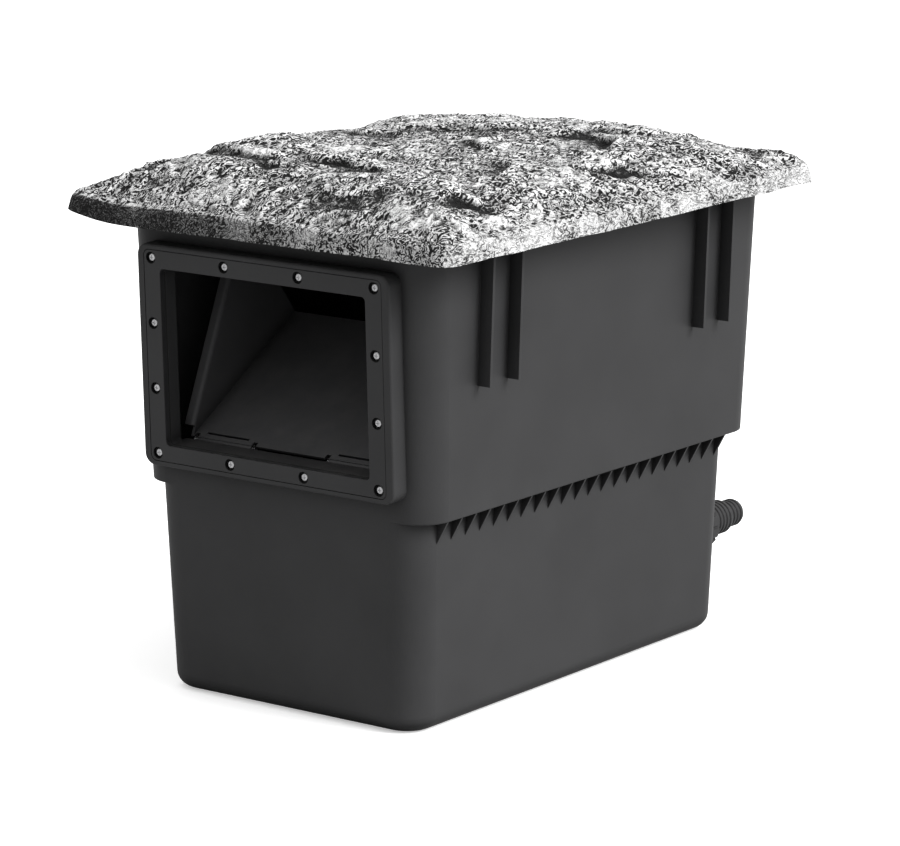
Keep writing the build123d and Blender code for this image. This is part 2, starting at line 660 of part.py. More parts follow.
with BuildPart() as float_caps:
    with BuildSketch(flap.offset(float_underside - FLOAT_CAP_THICKNESS)):
        with Locations(*peg_points):
            Circle(FLOAT_CAP_RADIUS)
        with Locations(*peg_points):
            Circle(FLOAT_PEG_RADIUS + FIT_GAP, mode=Mode.SUBTRACT)
    extrude(amount=FLOAT_CAP_THICKNESS)
float_caps.part.label = "float_caps"
export_step(float_caps.part, "parts/float_caps.step")

with BuildPart() as weir_hinge_pins:
    # A headed pin on each side, put in from the outer lug
    pin_reach = lug_offset + LUG_THICKNESS / 2
    for side in (-1, 1):
        with BuildSketch(across_hinge.offset(side * KNUCKLE_CENTRE)):
            Circle(HINGE_PIN_RADIUS)
        extrude(amount=pin_reach, both=True)
        with BuildSketch(across_hinge.offset(side * (KNUCKLE_CENTRE + pin_reach + PIN_HEAD_THICKNESS / 2))):
            Circle(HINGE_PIN_RADIUS + PIN_HEAD_THICKNESS)
        extrude(amount=PIN_HEAD_THICKNESS / 2, both=True)
weir_hinge_pins.part.label = "weir_hinge_pins"
export_step(weir_hinge_pins.part, "parts/weir_hinge_pins.step")

# ---------------------------------------------------------------- leaf basket
basket_top = shelf_height + BASKET_FLANGE_THICKNESS
basket_floor = basket_top - BASKET_DEPTH
bail_height = basket_top + BAIL_PIVOT_RISE
bail_lug_x = BASKET_WIDTH / 2 - BASKET_WALL
bail_x = bail_lug_x - LUG_GAP - BAIL_RADIUS
bail_reach = BASKET_LENGTH / 2 + BASKET_FLANGE / 2
slot_length = BASKET_DEPTH - 2 * BASKET_CORNER_RADIUS
slots_across = int((BASKET_WIDTH - 2 * BASKET_CORNER_RADIUS) / BASKET_SLOT_PITCH)
slots_along = int((BASKET_LENGTH - 2 * BASKET_CORNER_RADIUS) / BASKET_SLOT_PITCH)

with BuildPart() as debris_basket:
    with BuildSketch(Plane.XY.offset(basket_floor)):
        with Locations((0, BASKET_CENTRE_Y)):
            RectangleRounded(BASKET_WIDTH, BASKET_LENGTH, BASKET_CORNER_RADIUS)
    extrude(amount=BASKET_DEPTH)
    with BuildSketch(Plane.XY.offset(shelf_height)):
        with Locations((0, BASKET_CENTRE_Y)):
            RectangleRounded(
                BASKET_WIDTH + 2 * BASKET_SIDE_FLANGE,
                BASKET_LENGTH + 2 * BASKET_FLANGE,
                BASKET_CORNER_RADIUS,
            )
    extrude(amount=BASKET_FLANGE_THICKNESS)
    with BuildSketch(Plane.XY.offset(basket_floor + BASKET_WALL)):
        with Locations((0, BASKET_CENTRE_Y)):
            RectangleRounded(
                BASKET_WIDTH - 2 * BASKET_WALL,
                BASKET_LENGTH - 2 * BASKET_WALL,
                BASKET_CORNER_RADIUS - BASKET_WALL,
            )
    extrude(amount=BASKET_DEPTH, mode=Mode.SUBTRACT)
    # slots through the long walls, the short walls and the floor
    with BuildSketch(Plane.XZ.offset(-BASKET_CENTRE_Y)):
        with Locations((0, basket_floor + BASKET_DEPTH / 2)):
            with GridLocations(BASKET_SLOT_PITCH, 1, slots_across, 1):
                SlotOverall(slot_length, BASKET_SLOT_WIDTH, rotation=90)
    extrude(amount=BASKET_LENGTH, both=True, mode=Mode.SUBTRACT)
    with BuildSketch(Plane.YZ):
        with Locations((BASKET_CENTRE_Y, basket_floor + BASKET_DEPTH / 2)):
            with GridLocations(BASKET_SLOT_PITCH, 1, slots_along, 1):
                SlotOverall(slot_length, BASKET_SLOT_WIDTH, rotation=90)
    extrude(amount=BASKET_WIDTH, both=True, mode=Mode.SUBTRACT)
    with BuildSketch(Plane.XY.offset(basket_floor)):
        with Locations((0, BASKET_CENTRE_Y)):
            with GridLocations(BASKET_SLOT_PITCH, 1, slots_across, 1):
                SlotOverall(BASKET_LENGTH - 2 * BASKET_CORNER_RADIUS, BASKET_SLOT_WIDTH, rotation=90)
    extrude(amount=BASKET_WALL, mode=Mode.SUBTRACT)
    # lugs and stub pins for the bail, and the posts that it rests on either way
    for side in (-1, 1):
        lug_plane = Plane(
            origin=(side * bail_lug_x, BASKET_CENTRE_Y, bail_height), x_dir=(0, side, 0), z_dir=(side, 0, 0)
        )
        with BuildSketch(lug_plane):
            Circle(BAIL_EYE_RADIUS)
            with Locations((0, -BAIL_PIVOT_RISE / 2 - BASKET_FLANGE_THICKNESS / 4)):
                Rectangle(2 * BAIL_EYE_RADIUS, BAIL_PIVOT_RISE + BASKET_FLANGE_THICKNESS / 2)
        extrude(amount=BAIL_LUG_THICKNESS)
        with BuildSketch(lug_plane):
            Circle(BAIL_PIN_RADIUS)
        extrude(amount=-(BAIL_RADIUS + LUG_GAP + BAIL_EYE_THICKNESS / 2))
        post_height = bail_height - BAIL_RADIUS - REST_GAP - basket_top
        with Locations(
            (side * REST_POST_X, BASKET_CENTRE_Y - bail_reach, basket_top),
            (side * REST_POST_X, BASKET_CENTRE_Y + bail_reach, basket_top),
        ):
            Box(
                BASKET_FLANGE,
                BASKET_FLANGE,
                post_height,
                align=(Align.CENTER, Align.CENTER, Align.MIN),
            )
debris_basket.part.label = "debris_basket"
export_step(debris_basket.part, "parts/debris_basket.step")

with BuildPart() as basket_handle:
    # Bail lying back on the flange
    with BuildLine(Plane.XY.offset(bail_height)) as bail_line:
        arm_start = BASKET_CENTRE_Y + BAIL_EYE_RADIUS / 2
        FilletPolyline(
            (-bail_x, arm_start),
            (-bail_x, BASKET_CENTRE_Y + bail_reach),
            (bail_x, BASKET_CENTRE_Y + bail_reach),
            (bail_x, arm_start),
            radius=BAIL_BEND_RADIUS,
        )
    with BuildSketch(Plane(origin=(-bail_x, arm_start, bail_height), x_dir=(1, 0, 0), z_dir=(0, 1, 0))):
        Circle(BAIL_RADIUS)
    sweep()
    for side in (-1, 1):
        eye_plane = Plane(origin=(side * bail_x, BASKET_CENTRE_Y, bail_height), x_dir=(0, 1, 0), z_dir=(1, 0, 0))
        with BuildSketch(eye_plane):
            Circle(BAIL_EYE_RADIUS)
        extrude(amount=BAIL_EYE_THICKNESS / 2, both=True)
        with BuildSketch(eye_plane):
            Circle(BAIL_PIN_RADIUS + FIT_GAP)
        extrude(amount=BAIL_EYE_THICKNESS, both=True, mode=Mode.SUBTRACT)
basket_handle.part.label = "basket_handle"
export_step(basket_handle.part, "parts/basket_handle.step")

# ---------------------------------------------------------------- partition and cartridge rack
rack_front = PARTITION_Y + PARTITION_THICKNESS
rack_rear = rack_front + RACK_DEPTH
window_middle = FLOOR + WINDOW_PITCH * WINDOWS_UP / 2 + WINDOW_PITCH / 4
ear_points = [
    (side * (RACK_HALF_WIDTH + RACK_EAR_WIDTH / 2), level) for side in (-1, 1) for level in RACK_EAR_LEVELS
]

with BuildPart() as partition:
    add(tapered_block(FLOOR, RIM_HEIGHT, inset=WALL + PARTITION_CLEARANCE))
    fillet(bottom_edges(partition.part), BASE_EDGE_RADIUS - WALL - PARTITION_CLEARANCE)
    add(tapered_block(shelf_height, RIM_HEIGHT, SIDE_LEDGE, REAR_LEDGE, WALL + PARTITION_CLEARANCE))
    with BuildSketch(Plane.XZ.offset(-PARTITION_Y)):
        with Locations((0, PARTITION_TOP / 2)):
            Rectangle(BASE_WIDTH * 2, PARTITION_TOP)
    extrude(amount=-PARTITION_THICKNESS, mode=Mode.INTERSECT)
    with BuildSketch(Plane.XZ.offset(-PARTITION_Y)):
        with Locations((0, window_middle)):
            with GridLocations(WINDOW_PITCH, WINDOW_PITCH, WINDOWS_ACROSS, WINDOWS_UP):
                Rectangle(WINDOW_SIZE, WINDOW_SIZE)
        with Locations(*ear_points):
            Circle(RACK_SCREW_RADIUS + FIT_GAP)
    extrude(amount=-PARTITION_THICKNESS, mode=Mode.SUBTRACT)
partition.part.label = "partition"
export_step(partition.part, "parts/partition.step")

rack_foot_width = RACK_HALF_WIDTH - RACK_FOOT_CHAMFER
rack_grid_y = rack_rear - RACK_WALL
with BuildPart() as cartridge_rack:
    # Two sides and a floor, open towards the partition, with ears for the screws
    with BuildSketch(Plane.XZ.offset(-rack_front)):
        with BuildLine():
            Polyline(
                (-RACK_HALF_WIDTH, RACK_TOP),
                (-RACK_HALF_WIDTH, FLOOR + RACK_FOOT_CHAMFER),
                (-rack_foot_width, FLOOR),
                (rack_foot_width, FLOOR),
                (RACK_HALF_WIDTH, FLOOR + RACK_FOOT_CHAMFER),
                (RACK_HALF_WIDTH, RACK_TOP),
                close=True,
            )
        make_face()
        with Locations((0, (FLOOR + RACK_WALL + RACK_TOP + RACK_WALL) / 2)):
            Rectangle(2 * (RACK_HALF_WIDTH - RACK_WALL), RACK_TOP - FLOOR, mode=Mode.SUBTRACT)
    extrude(amount=-(RACK_DEPTH - RACK_WALL))
    with BuildSketch(Plane.XZ.offset(-rack_front)):
        with Locations(*ear_points):
            Rectangle(RACK_EAR_WIDTH, RACK_EAR_HEIGHT)
            Circle(RACK_SCREW_RADIUS + FIT_GAP, mode=Mode.SUBTRACT)
    extrude(amount=-RACK_EAR_THICKNESS)
cartridge_rack.part.label = "cartridge_rack"
export_step(cartridge_rack.part, "parts/cartridge_rack.step")

with BuildPart() as rack_grid:
    # Grid plate welded across the back of the rack
    with BuildSketch(Plane.XZ.offset(-rack_grid_y)):
        with Locations((0, (FLOOR + RACK_FOOT_CHAMFER + RACK_TOP) / 2)):
            Rectangle(2 * RACK_HALF_WIDTH, RACK_TOP - FLOOR - RACK_FOOT_CHAMFER)
        with Locations((0, window_middle)):
            with GridLocations(WINDOW_PITCH, WINDOW_PITCH, WINDOWS_ACROSS, WINDOWS_UP):
                Rectangle(WINDOW_SIZE, WINDOW_SIZE, mode=Mode.SUBTRACT)
    extrude(amount=-RACK_WALL)
rack_grid.part.label = "rack_grid"
export_step(rack_grid.part, "parts/rack_grid.step")

with BuildPart() as rack_screws:
    with BuildSketch(Plane.XZ.offset(-PARTITION_Y)):
        with Locations(*ear_points):
            Circle(RACK_SCREW_HEAD_RADIUS)
    extrude(amount=RACK_SCREW_HEAD_HEIGHT)
    with BuildSketch(Plane.XZ.offset(-PARTITION_Y)):
        with Locations(*ear_points):
            Circle(RACK_SCREW_RADIUS)
    extrude(amount=-(PARTITION_THICKNESS + RACK_EAR_THICKNESS))
rack_screws.part.label = "rack_screws"
export_step(rack_screws.part, "parts/rack_screws.step")

# ---------------------------------------------------------------- foam cartridges
cartridge_half_width = RACK_HALF_WIDTH - RACK_WALL - CARTRIDGE_CLEARANCE
cartridge_foot = FLOOR + RACK_WALL + REST_GAP
foam_half_width = cartridge_half_width - CARTRIDGE_RING
foam_height = CARTRIDGE_HEIGHT - 2 * CARTRIDGE_RING
bar_columns = 3
bar_rows = 4


def cartridge_frame(front):
    """Ring and bars that hold a foam slab, with a grip on top, standing from a front plane."""
    with BuildPart() as frame:
        with BuildSketch(Plane.XZ.offset(-front)):
            with Locations((0, cartridge_foot + CARTRIDGE_HEIGHT / 2)):
                Rectangle(2 * cartridge_half_width, CARTRIDGE_HEIGHT)
                Rectangle(2 * foam_half_width, foam_height, mode=Mode.SUBTRACT)
        extrude(amount=-CARTRIDGE_DEPTH)
        for face in (front, front + CARTRIDGE_DEPTH - CARTRIDGE_BAR):
            with BuildSketch(Plane.XZ.offset(-face)):
                with Locations((0, cartridge_foot + CARTRIDGE_HEIGHT / 2)):
                    with GridLocations(2 * foam_half_width / (bar_columns + 1), 1, bar_columns, 1):
                        Rectangle(CARTRIDGE_BAR, foam_height)
                    with GridLocations(1, foam_height / (bar_rows + 1), 1, bar_rows):
                        Rectangle(2 * foam_half_width, CARTRIDGE_BAR)
            extrude(amount=-CARTRIDGE_BAR)
        grip_foot = cartridge_foot + CARTRIDGE_HEIGHT
        with BuildSketch(Plane.XZ.offset(-(front + CARTRIDGE_DEPTH / 2))):
            with Locations((0, grip_foot + GRIP_HEIGHT / 2)):
                Rectangle(GRIP_WIDTH, GRIP_HEIGHT)
                Rectangle(GRIP_SLOT_WIDTH, GRIP_SLOT_HEIGHT, mode=Mode.SUBTRACT)
        extrude(amount=GRIP_THICKNESS / 2, both=True)
    return frame.part


def foam_slab(front):
    """Foam that fills a cartridge frame between its two sets of bars."""
    with BuildPart() as slab:
        with BuildSketch(Plane.XZ.offset(-(front + CARTRIDGE_BAR))):
            with Locations((0, cartridge_foot + CARTRIDGE_HEIGHT / 2)):
                Rectangle(2 * foam_half_width, foam_height)
        extrude(amount=-(CARTRIDGE_DEPTH - 2 * CARTRIDGE_BAR))
    return slab.part


coarse_front = rack_front + CARTRIDGE_CLEARANCE
fine_front = coarse_front + CARTRIDGE_DEPTH + CARTRIDGE_GAP
for grade, front in (("coarse", coarse_front), ("fine", fine_front)):
    frame_part = cartridge_frame(front)
    frame_part.label = grade + "_foam_frame"
    export_step(frame_part, "parts/" + frame_part.label + ".step")
    foam_part = foam_slab(front)
    foam_part.label = grade + "_foam"
    export_step(foam_part, "parts/" + foam_part.label + ".step")

# ---------------------------------------------------------------- outlet fittings
flange_face_y = seat_inner_y - SEAL_THICKNESS
body_start_y = flange_face_y - BULKHEAD_FLANGE_THICKNESS
barrel_end_y = seat_outer_y + BARREL_OUTSIDE
collar_y = barrel_end_y + TAIL_SEAL_THICKNESS
nut_wall_y = collar_y + TAIL_COLLAR_THICKNESS
nut_end_y = nut_wall_y + TAIL_NUT_WALL
barbs_y = nut_end_y + TAIL_NECK

with BuildPart() as bulkhead_body:
    with BuildSketch(outlet_plane(body_start_y)):
        Circle(BULKHEAD_FLANGE_RADIUS)
    extrude(amount=BULKHEAD_FLANGE_THICKNESS)
    with BuildSketch(outlet_plane(body_start_y)):
        Circle(THREAD_RADIUS)
    extrude(amount=barrel_end_y - body_start_y)
    with BuildSketch(outlet_plane(body_start_y)):
        Circle(WATERWAY_RADIUS)
    extrude(amount=barrel_end_y - body_start_y, mode=Mode.SUBTRACT)
bulkhead_body.part.label = "bulkhead_body"
export_step(bulkhead_body.part, "parts/bulkhead_body.step")

with BuildPart() as bulkhead_seal:
    with BuildSketch(outlet_plane(flange_face_y)):
        Circle(BULKHEAD_FLANGE_RADIUS)
        Circle(THREAD_RADIUS + FIT_GAP, mode=Mode.SUBTRACT)
    extrude(amount=SEAL_THICKNESS)
bulkhead_seal.part.label = "bulkhead_seal"
export_step(bulkhead_seal.part, "parts/bulkhead_seal.step")

with BuildPart() as bulkhead_nut:
    with BuildSketch(outlet_plane(seat_outer_y)):
        RegularPolygon(BULKHEAD_NUT_FLATS / 2, 6, major_radius=False)
        Circle(THREAD_RADIUS + FIT_GAP, mode=Mode.SUBTRACT)
    extrude(amount=BULKHEAD_NUT_THICKNESS)
bulkhead_nut.part.label = "bulkhead_nut"
export_step(bulkhead_nut.part, "parts/bulkhead_nut.step")

with BuildPart() as tail_seal:
    with BuildSketch(outlet_plane(barrel_end_y)):
        Circle(TAIL_COLLAR_RADIUS)
        Circle(WATERWAY_RADIUS, mode=Mode.SUBTRACT)
    extrude(amount=TAIL_SEAL_THICKNESS)
tail_seal.part.label = "tail_seal"
export_step(tail_seal.part, "parts/tail_seal.step")

with BuildPart() as tail_nut:
    with BuildSketch(outlet_plane(nut_end_y)):
        Circle(TAIL_NUT_RADIUS)
        with PolarLocations(TAIL_NUT_RADIUS, TAIL_NUT_GRIPS):
            Circle(TAIL_NUT_GRIP_RADIUS, mode=Mode.SUBTRACT)
    extrude(amount=-TAIL_NUT_LENGTH)
    with BuildSketch(outlet_plane(nut_wall_y)):
        Circle(THREAD_RADIUS + FIT_GAP)
    extrude(amount=-TAIL_NUT_LENGTH, mode=Mode.SUBTRACT)
    with BuildSketch(outlet_plane(nut_end_y)):
        Circle(LARGE_HOSE_RADIUS - BARB_HEIGHT + TAIL_NECK_CLEARANCE)
    extrude(amount=-TAIL_NUT_LENGTH, mode=Mode.SUBTRACT)
tail_nut.part.label = "tail_nut"
export_step(tail_nut.part, "parts/tail_nut.step")

step_y = barbs_y + LARGE_BARBS * BARB_PITCH
tail_end_y = step_y + SMALL_BARBS * BARB_PITCH
with BuildPart() as hose_tail:
    with BuildSketch(outlet_section):
        with BuildLine():
            Polyline(
                (WATERWAY_RADIUS, collar_y),
                (TAIL_COLLAR_RADIUS, collar_y),
                (TAIL_COLLAR_RADIUS, nut_wall_y),
                (LARGE_HOSE_RADIUS - BARB_HEIGHT, nut_wall_y),
                *barb_points(barbs_y, LARGE_HOSE_RADIUS, LARGE_BARBS),
                *barb_points(step_y, SMALL_HOSE_RADIUS, SMALL_BARBS),
                (WATERWAY_RADIUS, tail_end_y + BARB_SLOPE),
                close=True,
            )
        make_face()
    revolve(axis=outlet_axis)
hose_tail.part.label = "hose_tail"
export_step(hose_tail.part, "parts/hose_tail.step")

pump_collar_y = body_start_y - TAIL_COLLAR_THICKNESS
pump_end_y = pump_collar_y - PUMP_BARBS * BARB_PITCH
with BuildPart() as inner_tail:
    with BuildSketch(outlet_section):
        with BuildLine():
            Polyline(
                (PUMP_WATERWAY_RADIUS, body_start_y + PUMP_SPIGOT),
                (WATERWAY_RADIUS - FIT_GAP, body_start_y + PUMP_SPIGOT),
                (WATERWAY_RADIUS - FIT_GAP, body_start_y),
                (TAIL_COLLAR_RADIUS, body_start_y),
                (TAIL_COLLAR_RADIUS, pump_collar_y),
                *barb_points(pump_collar_y, PUMP_HOSE_RADIUS, PUMP_BARBS, -1),
                (PUMP_WATERWAY_RADIUS, pump_end_y - BARB_SLOPE),
                close=True,
            )
        make_face()
    revolve(axis=outlet_axis)
inner_tail.part.label = "inner_tail"
export_step(inner_tail.part, "parts/inner_tail.step")

# ---------------------------------------------------------------- lead grommet
with BuildPart() as cable_grommet:
    with BuildSketch(grommet_plane):
        Circle(GROMMET_FLANGE_RADIUS)
    extrude(amount=GROMMET_FLANGE_THICKNESS)
    with BuildSketch(grommet_plane.offset(-WALL)):
        Circle(GROMMET_FLANGE_RADIUS)
    extrude(amount=-GROMMET_FLANGE_THICKNESS)
    with BuildSketch(grommet_plane):
        Circle(GROMMET_BODY_RADIUS - FIT_GAP)
    extrude(amount=-WALL)
    with BuildSketch(grommet_plane.offset(GROMMET_FLANGE_THICKNESS)):
        Circle(GROMMET_BORE_RADIUS)
    extrude(amount=-(WALL + 2 * GROMMET_FLANGE_THICKNESS), mode=Mode.SUBTRACT)
cable_grommet.part.label = "cable_grommet"
export_step(cable_grommet.part, "parts/cable_grommet.step")

# ---------------------------------------------------------------- rock lid and its pads
bearing_height = RIM_HEIGHT + PAD_THICKNESS
pad_line = (LIP_WIDTH - WALL) / 2
side_pad_x = half_width(RIM_HEIGHT, SIDE_LEDGE) + pad_line
with BuildPart() as lid_pads:
    for side in (-1, 1):
        with Locations(
            (side * side_pad_x, -PAD_SPACING_Y / 2, RIM_HEIGHT),
            (side * side_pad_x, PAD_SPACING_Y / 2, RIM_HEIGHT),
        ):
            Box(PAD_WIDTH, PAD_LENGTH, PAD_THICKNESS, align=(Align.CENTER, Align.CENTER, Align.MIN))
        with Locations(
            (side * PAD_SPACING_X / 2, front_y(RIM_HEIGHT) - pad_line, RIM_HEIGHT),
            (side * PAD_SPACING_X / 2, rear_y(RIM_HEIGHT, REAR_LEDGE) + pad_line, RIM_HEIGHT),
        ):
            Box(PAD_LENGTH, PAD_WIDTH, PAD_THICKNESS, align=(Align.CENTER, Align.CENTER, Align.MIN))
lid_pads.part.label = "lid_pads"
export_step(lid_pads.part, "parts/lid_pads.step")


lid_underside = RIM_HEIGHT - LID_DROP
lid_half_width = half_width(RIM_HEIGHT, SIDE_LEDGE) + LID_SIDE_OVERHANG
lid_front = front_y(RIM_HEIGHT) - LID_FRONT_OVERHANG
lid_rear = rear_y(RIM_HEIGHT, REAR_LEDGE) + LID_REAR_OVERHANG


def lid_block(wall):
    """The lid's slab shape, made thinner all round by a wall."""
    sections = (
        (lid_underside - wall, wall),
        (lid_underside + LID_SKIRT_HEIGHT - wall / 2, LID_SKIRT_INSET + wall),
        (lid_underside + LID_HEIGHT - wall, LID_CROWN_INSET + wall),
    )
    with BuildPart() as block:
        for height, inset in sections:
            with BuildSketch(Plane.XY.offset(height)):
                with Locations((0, (lid_front + lid_rear) / 2)):
                    RectangleRounded(
                        2 * (lid_half_width - inset),
                        lid_rear - lid_front - 2 * inset,
                        LID_CORNER_RADIUS + inset / 4,
                    )
        loft(ruled=True)
    return block.part


with BuildPart() as lid_ribs:
    # A rib that bears on the pads and a shorter one that locates the lid inside the rim
    with BuildSketch(Plane.XY.offset(bearing_height)):
        add(rim_outline(pad_line + LID_BEARING_WIDTH / 2))
        add(rim_outline(pad_line - LID_BEARING_WIDTH / 2), mode=Mode.SUBTRACT)
    extrude(amount=LID_HEIGHT)
    with BuildSketch(Plane.XY.offset(bearing_height - LID_DOWNSTAND)):
        add(rim_outline(-WALL - LID_DOWNSTAND_GAP))
        add(rim_outline(-WALL - LID_DOWNSTAND_GAP - LID_DOWNSTAND_THICKNESS), mode=Mode.SUBTRACT)
    extrude(amount=LID_HEIGHT)
    add(lid_block(0), mode=Mode.INTERSECT)

with BuildPart() as rock_lid:
    add(lid_block(0))
    add(lid_block(LID_WALL), mode=Mode.SUBTRACT)
    add(lid_ribs.part)
rock_lid.part.label = "rock_lid"
export_step(rock_lid.part, "parts/rock_lid.step")
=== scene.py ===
"""Finishes for a pond skimmer: rock-look lid, filter foams, weir float, plastics and a plain studio.

Lengths are metres, apart from the rock lid's tables and functions, which work in millimetres. The frame
has its origin at the centre of the tub's underside, +Z up and +Y from the inlet to the hose outlet.
"""

import json
import math

import bmesh
import bpy
import numpy as np
from bpy.props import FloatProperty, FloatVectorProperty, PointerProperty
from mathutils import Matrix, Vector, noise


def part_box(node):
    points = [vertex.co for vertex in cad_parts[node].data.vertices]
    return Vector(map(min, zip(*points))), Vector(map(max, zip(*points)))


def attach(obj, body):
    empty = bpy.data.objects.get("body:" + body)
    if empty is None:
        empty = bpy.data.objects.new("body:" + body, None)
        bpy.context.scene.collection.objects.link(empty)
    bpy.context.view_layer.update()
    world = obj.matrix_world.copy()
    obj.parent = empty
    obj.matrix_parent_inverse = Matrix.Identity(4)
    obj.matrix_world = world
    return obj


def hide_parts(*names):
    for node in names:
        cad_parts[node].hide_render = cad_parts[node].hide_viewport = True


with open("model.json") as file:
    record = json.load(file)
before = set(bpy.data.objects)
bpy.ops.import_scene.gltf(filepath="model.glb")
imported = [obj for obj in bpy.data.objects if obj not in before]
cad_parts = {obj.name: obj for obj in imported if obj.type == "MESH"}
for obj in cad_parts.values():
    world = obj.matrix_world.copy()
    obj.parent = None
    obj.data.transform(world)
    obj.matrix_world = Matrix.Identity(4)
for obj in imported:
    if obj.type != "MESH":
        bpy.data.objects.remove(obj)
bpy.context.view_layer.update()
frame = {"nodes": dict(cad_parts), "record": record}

bl_info = {
    "name": "Pond Skimmer Finishes",
    "version": (1, 0, 0),
    "blender": (4, 5, 0),
    "location": "3D View > Sidebar > Skimmer",
    "description": "Builds the rock lid, foams, float, finishes and studio of a pond skimmer",
    "category": "Object",
}

MM = 0.001


# ---------------------------------------------------------------- node helpers
def feed(tree, node, sockets):
    """Sets a node's inputs. A value is a constant, or another node's output to link."""
    for name, value in sockets.items():
        if isinstance(value, bpy.types.NodeSocket):
            tree.links.new(value, node.inputs[name])
        else:
            node.inputs[name].default_value = value


def put(tree, kind, sockets=None, **settings):
    """Adds a node with its settings and inputs."""
    node = tree.nodes.new(kind)
    for name, value in settings.items():
        setattr(node, name, value)
    feed(tree, node, sockets or {})
    return node


def math_node(tree, operation, first, second, clamp=False):
    """A Math node's output."""
    node = put(tree, "ShaderNodeMath", {0: first, 1: second}, operation=operation, use_clamp=clamp)
    return node.outputs[0]


def times(tree, first, second):
    """Two values multiplied by a Math node."""
    return math_node(tree, "MULTIPLY", first, second)


def times_plus(tree, value, factor, added):
    """A Math node's output: value times factor, plus what is added."""
    sockets = {0: value, 1: factor, 2: added}
    return put(tree, "ShaderNodeMath", sockets, operation="MULTIPLY_ADD").outputs[0]


def vector_math(tree, operation, sockets, output="Vector"):
    """A Vector Math node's output."""
    return put(tree, "ShaderNodeVectorMath", sockets, operation=operation).outputs[output]


def remap(tree, value, low, high, to_low=0.0, to_high=1.0):
    """A clamped Map Range output."""
    sockets = {"Value": value, "From Min": low, "From Max": high, "To Min": to_low, "To Max": to_high}
    return put(tree, "ShaderNodeMapRange", sockets).outputs["Result"]


def mix_colour(tree, share, first, second):
    """A colour Mix node's output. Its colours are inputs 6 and 7 and output 2."""
    return put(tree, "ShaderNodeMix", {0: share, 6: first, 7: second}, data_type="RGBA").outputs[2]


def ramp(tree, value, stops):
    """A colour ramp's output from (position, grey) stops."""
    node = put(tree, "ShaderNodeValToRGB", {"Fac": value})
    elements = node.color_ramp.elements
    while len(elements) < len(stops):
        elements.new(1.0)
    for element, (position, grey) in zip(elements, stops):
        element.position = position
        element.color = (grey, grey, grey, 1.0)
    return node.outputs["Color"]


def object_point(tree):
    """The shaded point in the object's own coordinates."""
    return put(tree, "ShaderNodeTexCoord").outputs["Object"]


def noise_texture(tree, where, scale, detail, roughness=0.5):
    """A Noise Texture node's outputs."""
    sockets = {"Vector": where, "Scale": scale, "Detail": detail, "Roughness": roughness}
    return put(tree, "ShaderNodeTexNoise", sockets).outputs


def bump(tree, height, distance, normal=None):
    """A Bump node's normal."""
    sockets = {"Height": height, "Distance": distance, "Strength": 1.0}
    if normal is not None:
        sockets["Normal"] = normal
    return put(tree, "ShaderNodeBump", sockets).outputs["Normal"]


def scaled(colour, factor, lift=0.0):
    """A colour made darker or paler, with its alpha."""
    return (*(part * factor + lift for part in colour[:3]), 1.0)


def make_group(name, inputs, outputs, fill):
    """A shader node group whose inputs are numbers with their defaults. fill(tree, given) returns a value
    for each output."""
    group = bpy.data.node_groups.new(name, "ShaderNodeTree")
    for socket, default in inputs.items():
        made = group.interface.new_socket(name=socket, in_out="INPUT", socket_type="NodeSocketFloat")
        made.default_value = default
    for socket in outputs:
        kind = "NodeSocketVector" if socket == "Normal" else "NodeSocketFloat"
        group.interface.new_socket(name=socket, in_out="OUTPUT", socket_type=kind)
    given = put(group, "NodeGroupInput").outputs
    feed(group, put(group, "NodeGroupOutput"), fill(group, given))
    return group


def shared_group(name, inputs, outputs):
    """Turns a function that fills a group into one that places the group in a material. The group is made
    once, and each placing has its own values, named with underscores for spaces."""

    def wrap(fill):
        def place(tree, **values):
            group = bpy.data.node_groups.get(name) or make_group(name, inputs, outputs, fill)
            sockets = {socket.replace("_", " "): value for socket, value in values.items()}
            return put(tree, "ShaderNodeGroup", sockets, node_tree=group).outputs

        return place

    return wrap


# ---------------------------------------------------------------- shared effects
# Rays that a Bevel or Ambient Occlusion node casts at each point
SHADE_RAYS = 6


@shared_group("Moulded Grain", {"Grain Scale": 900.0, "Flow Scale": 9.0}, ("Grain", "Unevenness"))
def moulded_grain(tree, given):
    """Fine spark-eroded grain and the slow unevenness of a moulded face."""
    where = object_point(tree)
    grain = noise_texture(tree, where, given["Grain Scale"], detail=3.0, roughness=0.6)["Fac"]
    flow = noise_texture(tree, where, given["Flow Scale"], detail=4.0, roughness=0.55)["Fac"]
    return {"Grain": grain, "Unevenness": remap(tree, flow, 0.3, 0.7)}


@shared_group("Rounded Arris", {"Radius": 0.0006}, ("Normal", "Edge"))
def rounded_arris(tree, given):
    """A small rounding on sharp edges and a mask of where those edges are."""
    radius = {"Radius": given["Radius"]}
    rounded = put(tree, "ShaderNodeBevel", radius, samples=SHADE_RAYS).outputs["Normal"]
    flat = put(tree, "ShaderNodeNewGeometry").outputs["Normal"]
    match = vector_math(tree, "DOT_PRODUCT", {0: rounded, 1: flat}, output="Value")
    return {"Normal": rounded, "Edge": remap(tree, match, 0.98, 0.80)}


@shared_group("Painted Corner Shade", {"Reach": 0.02}, ("Open",))
def corner_shade(tree, given):
    """How open the surface is, for the painted shade in corners: none in slots, screw recesses and the
    corners under ledges.
    """
    reach = {"Distance": given["Reach"]}
    open_share = put(tree, "ShaderNodeAmbientOcclusion", reach, samples=SHADE_RAYS).outputs["AO"]
    return {"Open": remap(tree, open_share, 0.30, 0.90)}


